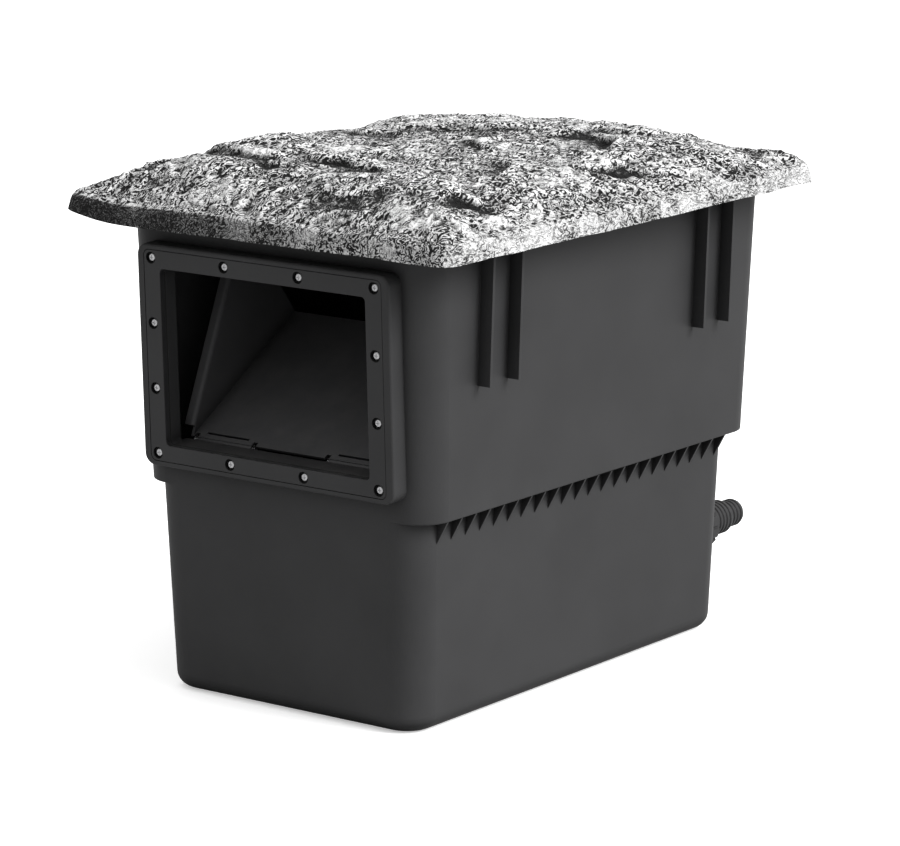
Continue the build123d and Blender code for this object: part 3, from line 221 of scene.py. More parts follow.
@shared_group("Settled Dust", {"Amount": 0.2, "Scale": 40.0}, ("Cover",))
def settled_dust(tree, given):
    """Where pale dust has settled on faces that look up."""
    facing = put(tree, "ShaderNodeNewGeometry").outputs["Normal"]
    up = put(tree, "ShaderNodeSeparateXYZ", {"Vector": facing}).outputs["Z"]
    patches = noise_texture(tree, object_point(tree), given["Scale"], detail=5.0, roughness=0.7)["Fac"]
    cover = times(tree, remap(tree, up, 0.5, 1.0), remap(tree, patches, 0.42, 0.75))
    return {"Cover": times(tree, cover, given["Amount"])}


@shared_group("Fine Scuffs", {"Scale": 700.0, "Area Scale": 14.0}, ("Rubs",))
def fine_scuffs(tree, given):
    """Short faint rubs that change how sharply a face shines."""
    where = object_point(tree)
    run = {"Vector": where, "Rotation": (0.3, 0.5, 0.2), "Scale": (1.0, 1.0, 0.08)}
    stretched = put(tree, "ShaderNodeMapping", run).outputs["Vector"]
    lines = noise_texture(tree, stretched, given["Scale"], detail=2.0)["Fac"]
    area = noise_texture(tree, where, given["Area Scale"], detail=2.0)["Fac"]
    return {"Rubs": times(tree, remap(tree, lines, 0.62, 0.72), remap(tree, area, 0.5, 0.65))}


ROCK_SCALES = {
    "Bend Scale": 60.0,
    "Bend": 0.012,
    "Fold Scale": 90.0,
    "Fold Count": 7.0,
    "Break Scale": 240.0,
    "Speck Scale": 900.0,
    "Patch Scale": 18.0,
}


@shared_group("Rock Crumple", ROCK_SCALES, ("Worms", "Patches", "Specks"))
def rock_crumple(tree, given):
    """The worm-like crumple of the cast rock, with its pale plateaus and its specks."""
    where = object_point(tree)
    bend = noise_texture(tree, where, given["Bend Scale"], detail=2.0)["Color"]
    centred = vector_math(tree, "SUBTRACT", {0: bend, 1: (0.5, 0.5, 0.5)})
    shift = vector_math(tree, "SCALE", {0: centred, "Scale": given["Bend"]})
    bent = vector_math(tree, "ADD", {0: where, 1: shift})
    longer_in_y = {"Vector": bent, "Scale": (1.0, 0.45, 1.0)}
    stretched = put(tree, "ShaderNodeMapping", longer_in_y).outputs["Vector"]
    folds = noise_texture(tree, stretched, given["Fold Scale"], detail=2.0, roughness=0.55)["Fac"]
    lines = math_node(tree, "PINGPONG", times(tree, folds, given["Fold Count"]), 0.5)
    breaks = noise_texture(tree, stretched, given["Break Scale"], detail=1.0)["Fac"]
    creases = times(tree, remap(tree, lines, 0.09, 0.34, 1.0, 0.0), remap(tree, breaks, 0.34, 0.50))
    specks = noise_texture(tree, where, given["Speck Scale"], detail=2.0, roughness=0.7)["Fac"]
    patches = noise_texture(tree, where, given["Patch Scale"], detail=4.0, roughness=0.65)["Fac"]
    worms = math_node(tree, "SUBTRACT", 1.0, creases)
    return {"Worms": worms, "Patches": patches, "Specks": specks}


@shared_group("Open Cells", {"Scale": 320.0}, ("Struts",))
def open_cells(tree, given):
    """Open foam cells: dark holes, painted as the shade inside the foam, with thin bright struts between
    them.
    """
    sockets = {"Vector": object_point(tree), "Scale": given["Scale"], "Randomness": 0.9}
    cells = put(tree, "ShaderNodeTexVoronoi", sockets, feature="DISTANCE_TO_EDGE")
    return {"Struts": remap(tree, cells.outputs["Distance"], 0.05, 0.22, 1.0, 0.0)}


# ---------------------------------------------------------------- materials
# Radius of the soft edges on mouldings, reach of the painted shade in their corners, and the colour of dust
ARRIS = 0.6 * MM
CORNER_SHADE_REACH = 22.0 * MM
DUST_COLOUR = (0.22, 0.21, 0.19, 1.0)
# What each effect adds to the tone of the cast rock, and the tone where none does. The hollows and the
# skirt's front left take painted shade, and the creases a dark wash with painted shade.
ROCK_TONE = 0.56
CREASE_SHARE, SKIRT_CREASE_SHARE = 0.84, -0.60
SPECK_SHARE, PATCH_SHARE, SKIRT_SHARE = 1.0, 0.75, 0.08
# painted shade: darker in hollows, by the ledges and on the front left of the skirt
HOLLOW_SHARE, FRONT_LEFT_SHADE_SHARE = -0.58, -0.33
# Grey of the rock from its darkest tone to its palest
ROCK_GREYS = ((0.16, 0.004), (0.35, 0.042), (0.54, 0.30), (0.80, 0.80))


def new_material(name):
    """An empty material, its node tree and its Principled shader."""
    material = bpy.data.materials.new(name)
    material.use_nodes = True
    tree = material.node_tree
    tree.nodes.clear()
    surface = tree.nodes.new("ShaderNodeBsdfPrincipled")
    output = tree.nodes.new("ShaderNodeOutputMaterial")
    tree.links.new(surface.outputs["BSDF"], output.inputs["Surface"])
    return material, tree, surface


def plastic(name, colour, shine, grain_depth, dust=0.12, grain_scale=900.0, gloss=0.15):
    """Satin moulded plastic with grain, softened edges with a painted highlight along them, faint rubs,
    painted shade in its corners and a little dust.
    """
    material, tree, surface = new_material(name)
    grain = moulded_grain(tree, Grain_Scale=grain_scale)
    edges = rounded_arris(tree, Radius=ARRIS)
    cover = settled_dust(tree, Amount=dust)["Cover"]
    rubs = fine_scuffs(tree)["Rubs"]
    corners = corner_shade(tree, Reach=CORNER_SHADE_REACH)["Open"]
    clean = mix_colour(tree, grain["Unevenness"], scaled(colour, 0.90), scaled(colour, 1.10))
    # painted shade: the colour falls to a quarter where the surface is closed in
    body = mix_colour(tree, corners, scaled(colour, 0.25), clean)
    # painted highlight: the colour is paler along sharp edges
    edge_highlight_share = times(tree, edges["Edge"], 0.35)
    edge_highlit = mix_colour(tree, edge_highlight_share, body, scaled(colour, 1.9, 0.004))
    spread = remap(tree, grain["Unevenness"], 0.0, 1.0, shine - 0.03, shine + 0.03)
    shone = math_node(tree, "SUBTRACT", spread, times(tree, rubs, 0.07))
    feed(tree, surface, {
        "Base Color": mix_colour(tree, cover, edge_highlit, DUST_COLOUR),
        "Roughness": math_node(tree, "ADD", shone, cover, clamp=True),
        "Specular IOR Level": gloss,
        "Normal": bump(tree, grain["Grain"], grain_depth, edges["Normal"]),
    })
    return material


def rubber(name, colour):
    """Dull moulded rubber."""
    material, tree, surface = new_material(name)
    grain = moulded_grain(tree, Grain_Scale=1400.0, Flow_Scale=20.0)
    edges = rounded_arris(tree, Radius=0.5 * MM)
    feed(tree, surface, {
        "Base Color": mix_colour(tree, grain["Unevenness"], scaled(colour, 0.8), scaled(colour, 1.3)),
        "Roughness": remap(tree, grain["Unevenness"], 0.0, 1.0, 0.72, 0.86),
        "Specular IOR Level": 0.35,
        "Normal": bump(tree, grain["Grain"], 0.1 * MM, edges["Normal"]),
    })
    return material


def steel(name):
    """Stainless steel with fine turning lines and soft edges."""
    material, tree, surface = new_material(name)
    grain = moulded_grain(tree, Grain_Scale=2600.0, Flow_Scale=60.0)
    edges = rounded_arris(tree, Radius=0.4 * MM)
    dull, bright = (0.56, 0.56, 0.57, 1.0), (0.72, 0.72, 0.73, 1.0)
    feed(tree, surface, {
        "Base Color": mix_colour(tree, grain["Unevenness"], dull, bright),
        "Metallic": 1.0,
        "Roughness": remap(tree, grain["Grain"], 0.3, 0.7, 0.30, 0.42),
        "Normal": bump(tree, grain["Grain"], 0.04 * MM, edges["Normal"]),
    })
    return material


def rock_material(settings):
    """Grey cast rock: pale tops, black creases and specks like granite. The creases' black is a dark wash
    together with painted shade, and the hollows, the ground by the ledges and the skirt's front left are
    painted in shade.
    """
    material, tree, surface = new_material("Cast Rock")
    parts = rock_crumple(
        tree,
        Fold_Scale=settings.fold_scale,
        Bend=settings.bend,
        Speck_Scale=settings.speck_scale,
    )
    skirt, hollow, front_left_shade, inside = (
        put(tree, "ShaderNodeAttribute", attribute_name=name).outputs["Fac"]
        for name in ("skirt", "hollow", "front_left_shade", "inside")
    )
    # the pale plateaus are nearly smooth, and the creases are deepest between them and in the hollows,
    # where the shade is painted
    depth = times_plus(tree, skirt, SKIRT_CREASE_SHARE, CREASE_SHARE)
    depth = times(tree, depth, remap(tree, parts["Patches"], 0.36, 0.60, 2.1, 0.25))
    depth = times(tree, depth, remap(tree, hollow, 0.0, 0.5, 1.0, 1.8))
    # the creases' dark is the rock's dark wash and painted shade; the hollow value and the one after it
    # paint shade into hollows, by ledges and on the skirt's front left
    mixed = ROCK_TONE
    for value, middle, share in (
        (parts["Worms"], 0.92, depth),
        (parts["Specks"], 0.5, SPECK_SHARE),
        (parts["Patches"], 0.5, PATCH_SHARE),
        (hollow, 0.0, HOLLOW_SHARE),
        (front_left_shade, 0.0, FRONT_LEFT_SHADE_SHARE),
        (skirt, 0.0, SKIRT_SHARE),
    ):
        mixed = times_plus(tree, math_node(tree, "SUBTRACT", value, middle), share, mixed)
    # the shell's inside is bare grey resin
    bare = mix_colour(tree, parts["Specks"], (0.035, 0.035, 0.036, 1.0), (0.16, 0.16, 0.165, 1.0))
    creases = times(tree, parts["Worms"], remap(tree, inside, 0.0, 1.0, 1.0, 0.1))
    height = math_node(tree, "ADD", creases, times(tree, parts["Specks"], 0.35))
    feed(tree, surface, {
        "Base Color": mix_colour(tree, inside, ramp(tree, mixed, ROCK_GREYS), bare),
        "Roughness": remap(tree, mixed, 0.1, 0.8, 0.9, 0.62),
        "Specular IOR Level": 0.3,
        "Normal": bump(tree, height, settings.crease_depth),
    })
    return material


def foam_material(name, colour, cell_scale, depth):
    """Open-cell filter foam, with painted shade in the holes of its cells."""
    material, tree, surface = new_material(name)
    struts = open_cells(tree, Scale=cell_scale)["Struts"]
    grain = moulded_grain(tree, Grain_Scale=cell_scale * 2.2, Flow_Scale=14.0)
    # painted shade: the cells' holes are darkened to near black
    shade = mix_colour(tree, struts, scaled(colour, 0.15), scaled(colour, 1.0))
    patchy = times(tree, grain["Unevenness"], 0.35)
    feed(tree, surface, {
        "Base Color": mix_colour(tree, patchy, shade, scaled(colour, 0.6)),
        "Roughness": remap(tree, struts, 0.0, 1.0, 0.95, 0.75),
        "Specular IOR Level": 0.25,
        "Normal": bump(tree, struts, depth),
    })
    return material


# ---------------------------------------------------------------- settings
def number(name, description, default, unit="NONE"):
    """A number that a user may change."""
    return FloatProperty(name=name, description=description, default=default, unit=unit)


def length(name, description, default):
    """A length that a user may change."""
    return number(name, description, default, "LENGTH")


def angle(name, description, degrees):
    """An angle that a user may change, given in degrees."""
    return number(name, description, math.radians(degrees), "ROTATION")


def colour(name, description, default):
    """A colour that a user may change."""
    return FloatVectorProperty(name=name, description=description, default=default, subtype="COLOR")


class RockLidSettings(bpy.types.PropertyGroup):
    """Sizes and look of the rock lid."""

    cell: length("Mesh Cell", "Size of the top's mesh cells", 2.2 * MM)
    wall: length("Shell", "Thickness of the shell at its lower edge", 6.0 * MM)
    corner: length("Corner Radius", "Radius of the plan's corners", 24.0 * MM)
    wander: length("Edge Wander", "How far the outline wanders inwards", 3.0 * MM)
    fold_scale: number("Fold Scale", "Folds of the crumple per metre", 105.0)
    bend: length("Fold Bend", "How far the folds wander", 12.0 * MM)
    speck_scale: number("Speck Scale", "Specks per metre", 850.0)
    crease_depth: length("Crease Depth", "Depth of the finest creases", 1.6 * MM)


class FoamSettings(bpy.types.PropertyGroup):
    """Sizes and colours of the filter foams and the float."""

    cell: length("Mesh Cell", "Size of the slabs' mesh cells", 4.0 * MM)
    swell: length("Swell", "How far the foam swells out between bars", 2.2 * MM)
    coarse_colour: colour("Coarse Foam", "Colour of the coarse foam", (0.06, 0.085, 0.15))
    fine_colour: colour("Fine Foam", "Colour of the fine foam", (0.055, 0.055, 0.058))
    float_colour: colour("Float", "Colour of the float's skin", (0.035, 0.035, 0.037))


class PlasticSettings(bpy.types.PropertyGroup):
    """Colours of the moulded plastics and the rubber."""

    faceplate: colour("Faceplate", "Colour of the screwed faceplate", (0.031, 0.031, 0.032))
    black: colour("Tub", "Colour of the tub and its fittings", (0.040, 0.040, 0.041))
    weir: colour("Weir", "Colour of the weir flap", (0.064, 0.064, 0.066))
    basket: colour("Basket", "Colour of the leaf basket", (0.024, 0.024, 0.025))
    grid: colour("Grids", "Colour of the partition and racks", (0.035, 0.035, 0.037))
    rubber: colour("Rubber", "Colour of the seals and pads", (0.014, 0.014, 0.014))


class StudioSettings(bpy.types.PropertyGroup):
    """Camera, lights and floor."""

    place: FloatVectorProperty(
        name="Camera Place", description="Where the camera stands",
        default=(2.7816, -3.7224, 1.2808), unit="LENGTH",
    )
    turn: angle("Camera Turn", "Camera's turn about the vertical", 36.76)
    tilt: angle("Camera Tilt", "How far the camera looks down", 12.31)
    lens: number("Lens", "Focal length in millimetres on a 36 mm sensor", 170.47)
    key_from: FloatVectorProperty(
        name="Key From", description="Direction that the main light comes from", default=(0.80, 0.22, 0.56)
    )
    key_strength: number("Key Strength", "Irradiance of the main light", 3.5)
    key_softness: angle("Key Softness", "Angle that the main light fills", 35)
    zenith: number("Zenith", "Brightness overhead", 1.25)
    horizon: number("Horizon", "Brightness at the horizon", 0.25)
    floor_glow: number("Floor Glow", "Light the floor gives off itself, which lifts its shadows", 0.42)
    floor_colour: colour("Floor", "Colour of the floor", (0.93, 0.93, 0.93))


# ---------------------------------------------------------------- mesh helpers
def link_mesh(name, vertices, faces, material):
    """A new smooth-shaded mesh object in the scene."""
    mesh = bpy.data.meshes.new(name)
    mesh.from_pydata([tuple(v) for v in vertices], [], faces)
    mesh.validate()
    mesh.materials.append(material)
    piece = bpy.data.objects.new(name, mesh)
    bpy.context.scene.collection.objects.link(piece)
    mesh.polygons.foreach_set("use_smooth", [True] * len(mesh.polygons))
    mesh.update()
    return piece


def round_corners(x, y, half_x, half_y, radius):
    """Moves points of a rectangle so that its corners become quarter circles."""
    a = np.clip(np.abs(x) - (half_x - radius), 0.0, radius)
    b = np.clip(np.abs(y) - (half_y - radius), 0.0, radius)
    new_a = a * np.sqrt(1.0 - (b / radius) ** 2 / 2.0)
    new_b = b * np.sqrt(1.0 - (a / radius) ** 2 / 2.0)
    return x + np.sign(x) * (new_a - a), y + np.sign(y) * (new_b - b)


def inside_distance(x, y, half_x, half_y, radius):
    """How far inside a rounded rectangle each point is."""
    qx = np.abs(x) - (half_x - radius)
    qy = np.abs(y) - (half_y - radius)
    outer = np.hypot(np.maximum(qx, 0.0), np.maximum(qy, 0.0))
    return radius - outer - np.minimum(np.maximum(qx, qy), 0.0)


def grid_faces(columns, rows, flip=False):
    """Quads of a grid whose vertices run along y within each x line."""
    faces = []
    for i in range(columns - 1):
        for j in range(rows - 1):
            a = i * rows + j
            face = (a, a + rows, a + rows + 1, a + 1)
            faces.append(face[::-1] if flip else face)
    return faces


def border_loop(columns, rows):
    """Indices round a grid's border, anticlockwise seen from above."""
    bottom = [i * rows for i in range(columns)]
    right = [(columns - 1) * rows + j for j in range(1, rows)]
    top = [i * rows + rows - 1 for i in range(columns - 2, -1, -1)]
    left = list(range(rows - 2, 0, -1))
    return bottom + right + top + left


def renumbered(faces, start):
    """Faces whose points come after others that are there already."""
    return [tuple(start + k for k in face) for face in faces]


def neighbours(field):
    """The four values round each value of a grid. A border value stands in for its missing ones."""
    padded = np.pad(field, 1, mode="edge")
    return padded[:-2, 1:-1], padded[2:, 1:-1], padded[1:-1, :-2], padded[1:-1, 2:]


# ---------------------------------------------------------------- rock lid, in millimetres
# Room between the rock's outline and the sides of its box
OUTLINE_GAP = 1.2
# Mesh cell near the outline, the width of that band, and the outer grid lines for each inner one
EDGE_CELL, EDGE_BAND = 1.0, 20.0
INSIDE_STEP = 4
# Feature sizes of the noises that shape the rock, from its outline to its finest roughness
OUTLINE_SIZE, LOWER_EDGE_SIZE = 45.0, 60.0
BROAD_SIZE, WARP_SIZE, FOLD_SIZE, SMALL_SIZE, TINY_SIZE = 120.0, 42.0, 36.0, 13.0, 6.0
# How high or deep those noises reach, and how far the warp shifts the ledges
BROAD_HEIGHT, WARP_REACH, FOLD_DEPTH, SMALL_DEPTH, TINY_HEIGHT = 6.0, 14.0, 7.0, 4.2, 0.9
# The warp's own seed: without one it starts from the clock, and differs on each run
WARP_SEED = 1
# How far in from the outline its wander fades, and the reach of the lower edge's own line
WANDER_FADE, LOWER_EDGE_FADE = 12.0, 20.0
# Lift of the lower edge at the front left corner, and its reach along x and y
CORNER_LIFT, CORNER_LIFT_X, CORNER_LIFT_Y = 10.0, 42.0, 60.0
# Greatest height of the rock above its lower edge
CREST = 73.0
# Passes of smoothing that tell a point from the rock near it and from the rock widely round it
NEAR_PASSES, WIDE_PASSES = 14, 260
# A ledge: how far its line wavers, how wide its step is and how far behind it the step dies away
LEDGE_WAVER, LEDGE_WIDTH, LEDGE_FADE = 7.0, 7.0, 38.0
# The dip in front of a ledge, as a share of its step, and the band of painted shade beyond it
DIP_SHARE, DIP_PLACE, DIP_SPREAD = 0.4, 8.0, 160.0
LEDGE_SHADE_PLACE, LEDGE_SHADE_SPREAD = 16.0, 600.0
# Ribs inside: inset from the pads' outline, thickness, and drop below the pads' tops. The outer one
# bears on the pads, and the inner one locates the lid.
RIBS = ((0.0, 9.0, 0.0), (13.5, 4.0, 10.0))
RIB_CORNER = 36.0
# How far the ribs run into the shell, the degrees between the points of their corners, and the
# spacing of their other points
RIB_EMBED, RIB_TURN, RIB_SPACING = 2.0, 9, 12.0
# Lumps and hollows: x, y, half-length along, half-width across, turn in degrees, and height. A hollow
# has a height below zero.
LUMPS = (
    (-205, -75, 60, 45, 20, 6),
    (-192, 262, 80, 46, 20, -9),
    (-182, 84, 60, 40, 0, -6),
    (-112, 278, 50, 30, 0, -6),
    (-120, -110, 90, 50, -10, 6),
    (-60, 60, 120, 60, 35, 5),
    (60, 200, 110, 50, 10, 3),
    (60, 262, 60, 30, 0, -5),
    (95, -60, 90, 60, -35, 6),
    (20, -255, 80, 30, 5, 4),
    (186, 286, 64, 50, 0, -16),
    (118, 270, 46, 32, 0, -10),
    (190, -150, 50, 45, 60, 5),
    (-150, 120, 60, 40, 60, 5),
    (-130, -262, 60, 24, 5, 4),
    (40, -110, 70, 22, -12, 6),
    (130, 190, 60, 26, 10, 6),
    (-222, -20, 40, 10, 8, -6),
    (-200, 241, 30, 14, 20, -4),
    (200, -226, 34, 20, 70, -8),
    (205, 40, 40, 16, 70, -7),
    (214, -336, 26, 12, 10, -5),
    (-206, 308, 38, 28, 0, -12),
    (-196, -28, 42, 42, 0, -6),
    (-152, 42, 34, 34, 0, -7),
    (-38, 256, 84, 34, 0, -4),
    (160, 224, 42, 32, 0, -7),
    (-75, -330, 7, 7, 0, -5),
    (-120, -316, 8, 8, 0, -5),
    (-20, -322, 9, 7, 20, -5),
)
# Broken ledges: x, y, half-length, turn of the line in degrees, and the height of the step up behind it
LEDGES = (
    (-176, -185, 42, -22, 8),
    (-110, -206, 42, -12, 8),
    (-60, -226, 34, -24, 6),
    (-222, -34, 34, 6, 7),
    (-28, -166, 34, -6, 11),
    (40, -198, 38, -32, 9),
    (-200, 228, 34, 14, 6),
    (-84, 52, 46, 28, 7),
    (31, 4, 40, -20, 7),
    (186, -246, 30, 62, 9),
    (72, 134, 34, 70, 10),
    (130, 112, 44, -42, 10),
    (198, 24, 42, 66, 8),
    (104, 240, 36, 10, 7),
    (236, 226, 30, 58, 5),
    (-130, 8, 40, -8, 6),
    (-10, 96, 50, 8, 6),
    (150, -100, 40, -50, 7),
    (96, -286, 44, 8, 6),
    (-205, -262, 34, 12, 6),
)


def spaced(half, cell):
    """Grid lines from -half to half, close together near both ends."""
    edge_count = max(1, round(EDGE_BAND / EDGE_CELL))
    middle_count = max(1, round(2 * (half - EDGE_BAND) / cell))
    middle_count += (-(2 * edge_count + middle_count)) % INSIDE_STEP
    edge = half - np.linspace(0.0, EDGE_BAND, edge_count + 1)
    inner = np.linspace(-(half - EDGE_BAND), half - EDGE_BAND, middle_count + 1)
    return np.concatenate((-edge[:-1], inner, edge[::-1][1:]))


def rise(value, start, end):
    """From 0 at one value to 1 at another, and level beyond both."""
    return np.clip((value - start) / (end - start), 0.0, 1.0)


def turned(x, y, centre_x, centre_y, turn):
    """Points measured from a centre, along and across a line that is turned by some degrees."""
    c, s = math.cos(math.radians(turn)), math.sin(math.radians(turn))
    dx, dy = x - centre_x, y - centre_y
    return dx * c + dy * s, -dx * s + dy * c


def placed_relief(x, y):
    """Height of the placed lumps, hollows and ledges, and the painted shade under the ledges."""
    total, ledge_shade = np.zeros_like(x), np.zeros_like(x)
    for centre_x, centre_y, half_length, half_width, turn, height in LUMPS:
        along, across = turned(x, y, centre_x, centre_y, turn)
        u, v = along / half_length, across / half_width
        total += height * np.exp(-(u * u + v * v))
    for centre_x, centre_y, half_length, turn, height in LEDGES:
        along, across = turned(x, y, centre_x, centre_y, turn)
        u = along / half_length
        v = across + LEDGE_WAVER * np.sin(2.6 * u + centre_x)
        behind = rise(v, 0.0, LEDGE_WIDTH)
        step = behind * behind * (3.0 - 2.0 * behind) * np.exp(-np.maximum(v, 0.0) / LEDGE_FADE)
        dip = np.exp(-((v + DIP_PLACE) ** 2) / DIP_SPREAD)
        total += height * np.exp(-u * u) * (step - DIP_SHARE * dip)
        # painted shade in a band in front of each ledge
        ledge_shade += height / 10.0 * np.exp(-u * u - (v + LEDGE_SHADE_PLACE) ** 2 / LEDGE_SHADE_SPREAD)
    return total, np.minimum(ledge_shade, 1.0)


def sampled(points, size):
    """Noise at some points, with a feature size."""
    return np.array([noise.noise(Vector(p)) for p in points / size])


def shoulder(x, y, d, half_x, half_y):
    """The lid's section over its lower edge, d in from its outline: a low square band at the front and
    right, and a taller round one at the left and rear."""
    low = np.interp(d, (0, 2, 5, 8, 18, 35, 50, 75, 100, 400), (0, 9, 17, 20.5, 25, 37, 46, 55, 60, 61))
    tall = np.interp(d, (0, 3, 7, 18, 35, 50, 75, 100, 400), (0, 12, 21.5, 32, 43, 50.5, 57, 60, 61))
    to_low = np.minimum(y + half_y, half_x - x) + 4.0
    to_tall = np.minimum(half_y - y, x + half_x) + 4.0
    share = np.clip(to_tall / (to_low + to_tall) * 1.6 - 0.3, 0.0, 1.0)
    return tall + (low - tall) * share


def below_surroundings(values, columns, rows, passes):
    """How far each value of a grid lies below the mean of those round it. More passes reach wider."""
    field = values.reshape(columns, rows)
    for _ in range(passes):
        before, after, left, right = neighbours(field)
        field = (before + after + left + right + 4 * field) / 8.0
    return field.reshape(-1) - values


def grid_normals(points, columns, rows):
    """Unit normals of a grid of points."""
    field = points.reshape(columns, rows, 3)
    normals = np.cross(np.gradient(field, axis=0), np.gradient(field, axis=1))
    normals /= np.linalg.norm(normals, axis=2, keepdims=True)
    return normals.reshape(-1, 3)


def lid_surface(lines_x, lines_y, outline, wander):
    """The rock's outer surface, and the shading values of its points."""
    half_x, half_y, _ = outline
    columns, rows = len(lines_x), len(lines_y)
    x, y = (axis.reshape(-1) for axis in np.meshgrid(lines_x, lines_y, indexing="ij"))
    x, y = round_corners(x, y, *outline)
    d = np.maximum(inside_distance(x, y, *outline), 0.0)
    flat = np.column_stack((x, y, np.zeros_like(x)))
    edge_noise = sampled(flat, OUTLINE_SIZE) * 0.5 + 0.5
    pull = wander * edge_noise * np.exp(-d / WANDER_FADE)
    x = x - np.sign(x) * pull * np.exp(-np.maximum(half_x - np.abs(x), 0) / WANDER_FADE)
    y = y - np.sign(y) * pull * np.exp(-np.maximum(half_y - np.abs(y), 0) / WANDER_FADE)
    # the lower edge waves a little, and lifts at the front left corner
    from_corner = ((x + half_x) / CORNER_LIFT_X) ** 2, ((y + half_y) / CORNER_LIFT_Y) ** 2
    lift = CORNER_LIFT * np.exp(-from_corner[0] - from_corner[1])
    lower = 1.2 + 1.2 * sampled(flat, LOWER_EDGE_SIZE) + lift
    profile = lower * np.exp(-d / LOWER_EDGE_FADE) + shoulder(x, y, d, half_x, half_y)
    # broad shape, with ledges that wander off their straight lines
    noise.seed_set(WARP_SEED)
    inward = rise(d, 0.0, 45.0)
    warp = np.array([noise.noise_vector(Vector(p)) for p in flat / WARP_SIZE]) * WARP_REACH
    broad = sampled(flat + 31.0, BROAD_SIZE) * BROAD_HEIGHT
    placed, ledge_shade = placed_relief(x + warp[:, 0], y + warp[:, 1])
    relief = inward * (broad + placed - 1.0)
    # sharp folds over the broad shape
    relief += inward * (2.2 - FOLD_DEPTH * np.abs(sampled(flat + warp, FOLD_SIZE)))
    relief = np.minimum(relief, CREST - profile)
    # roughness along the surface's own normals
    surface = np.column_stack((x, y, profile + relief))
    normals = grid_normals(surface, columns, rows)
    small = np.abs(sampled(surface + warp * 0.6 + 57.0, SMALL_SIZE))
    tiny = sampled(surface + 91.0, TINY_SIZE)
    rough = (1.2 - SMALL_DEPTH * small + TINY_HEIGHT * tiny) * (0.35 + 0.65 * rise(d, 0.0, 16.0))
    rough *= rise(d, 0.0, 3.0)
    surface = surface + normals * rough[:, None]
    # shading: painted shade in the hollows and in a band by the ledges, the band round the edge is finer
    # creased, and painted shade on the front, darkest at its left
    near = below_surroundings(relief + rough, columns, rows, NEAR_PASSES)
    wide = below_surroundings(relief + rough, columns, rows, WIDE_PASSES)
    hollow = np.clip(near / 2.4, -0.6, 1.0) * 0.42 + np.clip(wide / 6.0, -0.5, 1.2) * 0.5
    # the painted shade by the ledges joins the painted shade of the hollows
    hollow += 0.5 * ledge_shade - 0.03
    hollow *= rise(d, 6.0, 26.0)
    front = rise(half_y + y, 11.0, 8.0)
    skirt = (1.0 - rise(d, 6.5, 9.5)) * (1.0 - 0.7 * front)
    # painted shade on the front of the skirt, darkest at its left, which the light leaves dark
    front_left_shade = front * rise(x, 130.0, -130.0)
    return surface, {"hollow": hollow, "skirt": skirt, "front_left_shade": front_left_shade}


def lid_inside(outer, columns, rows, wall, outline):
    """The shell's inner surface, with fewer grid lines. It runs down to the lower edge."""
    field = outer.reshape(columns, rows, 3)
    low = field[:, :, 2].copy()
    for _ in range(INSIDE_STEP):
        low = np.minimum.reduce((*neighbours(low), low))
    inner = field[::INSIDE_STEP, ::INSIDE_STEP].copy()
    d = inside_distance(inner[:, :, 0], inner[:, :, 1], *outline)
    half_x, half_y, _ = outline
    inner[:, :, 2] += rise(d, 0.0, 25.0) * (low[::INSIDE_STEP, ::INSIDE_STEP] - inner[:, :, 2] - wall)
    inner[:, :, :2] *= np.array(((half_x - wall) / half_x, (half_y - wall) / half_y))
    return inner.reshape(-1, 3)


def rib_ring(half_x, half_y, centre, radius, thickness, bottom, ceiling):
    """A rib that runs round a rounded rectangle and reaches up into the points of a ceiling."""
    turns = np.radians(np.arange(0, 360, RIB_TURN) + RIB_TURN / 2)
    loops = []
    for inset in (0.0, thickness):
        r = radius - inset
        corner_x = np.sign(np.cos(turns)) * (half_x - radius)
        corner_y = np.sign(np.sin(turns)) * (half_y - radius)
        x, y = corner_x + r * np.cos(turns), corner_y + r * np.sin(turns)
        ring = []
        for k in range(len(turns)):
            after = (k + 1) % len(turns)
            gap_x, gap_y = x[after] - x[k], y[after] - y[k]
            cuts = max(1, round(math.hypot(gap_x, gap_y) / RIB_SPACING))
            ring += [(x[k] + gap_x * n / cuts, y[k] + gap_y * n / cuts) for n in range(cuts)]
        loops.append(np.array(ring) + centre)
    count = len(loops[0])
    vertices = []
    for loop in loops:
        away = ((loop[:, None, :] - ceiling[None, :, :2]) ** 2).sum(axis=2)
        top = ceiling[away.argmin(axis=1), 2]
        vertices += [(px, py, bottom) for px, py in loop]
        vertices += [(px, py, pz) for (px, py), pz in zip(loop, top)]
    faces = []
    for k in range(count):
        after = (k + 1) % count
        for low, high in ((0, count), (3 * count, 2 * count), (2 * count, 0), (count, 3 * count)):
            faces.append((low + k, low + after, high + after, high + k))
    return vertices, faces


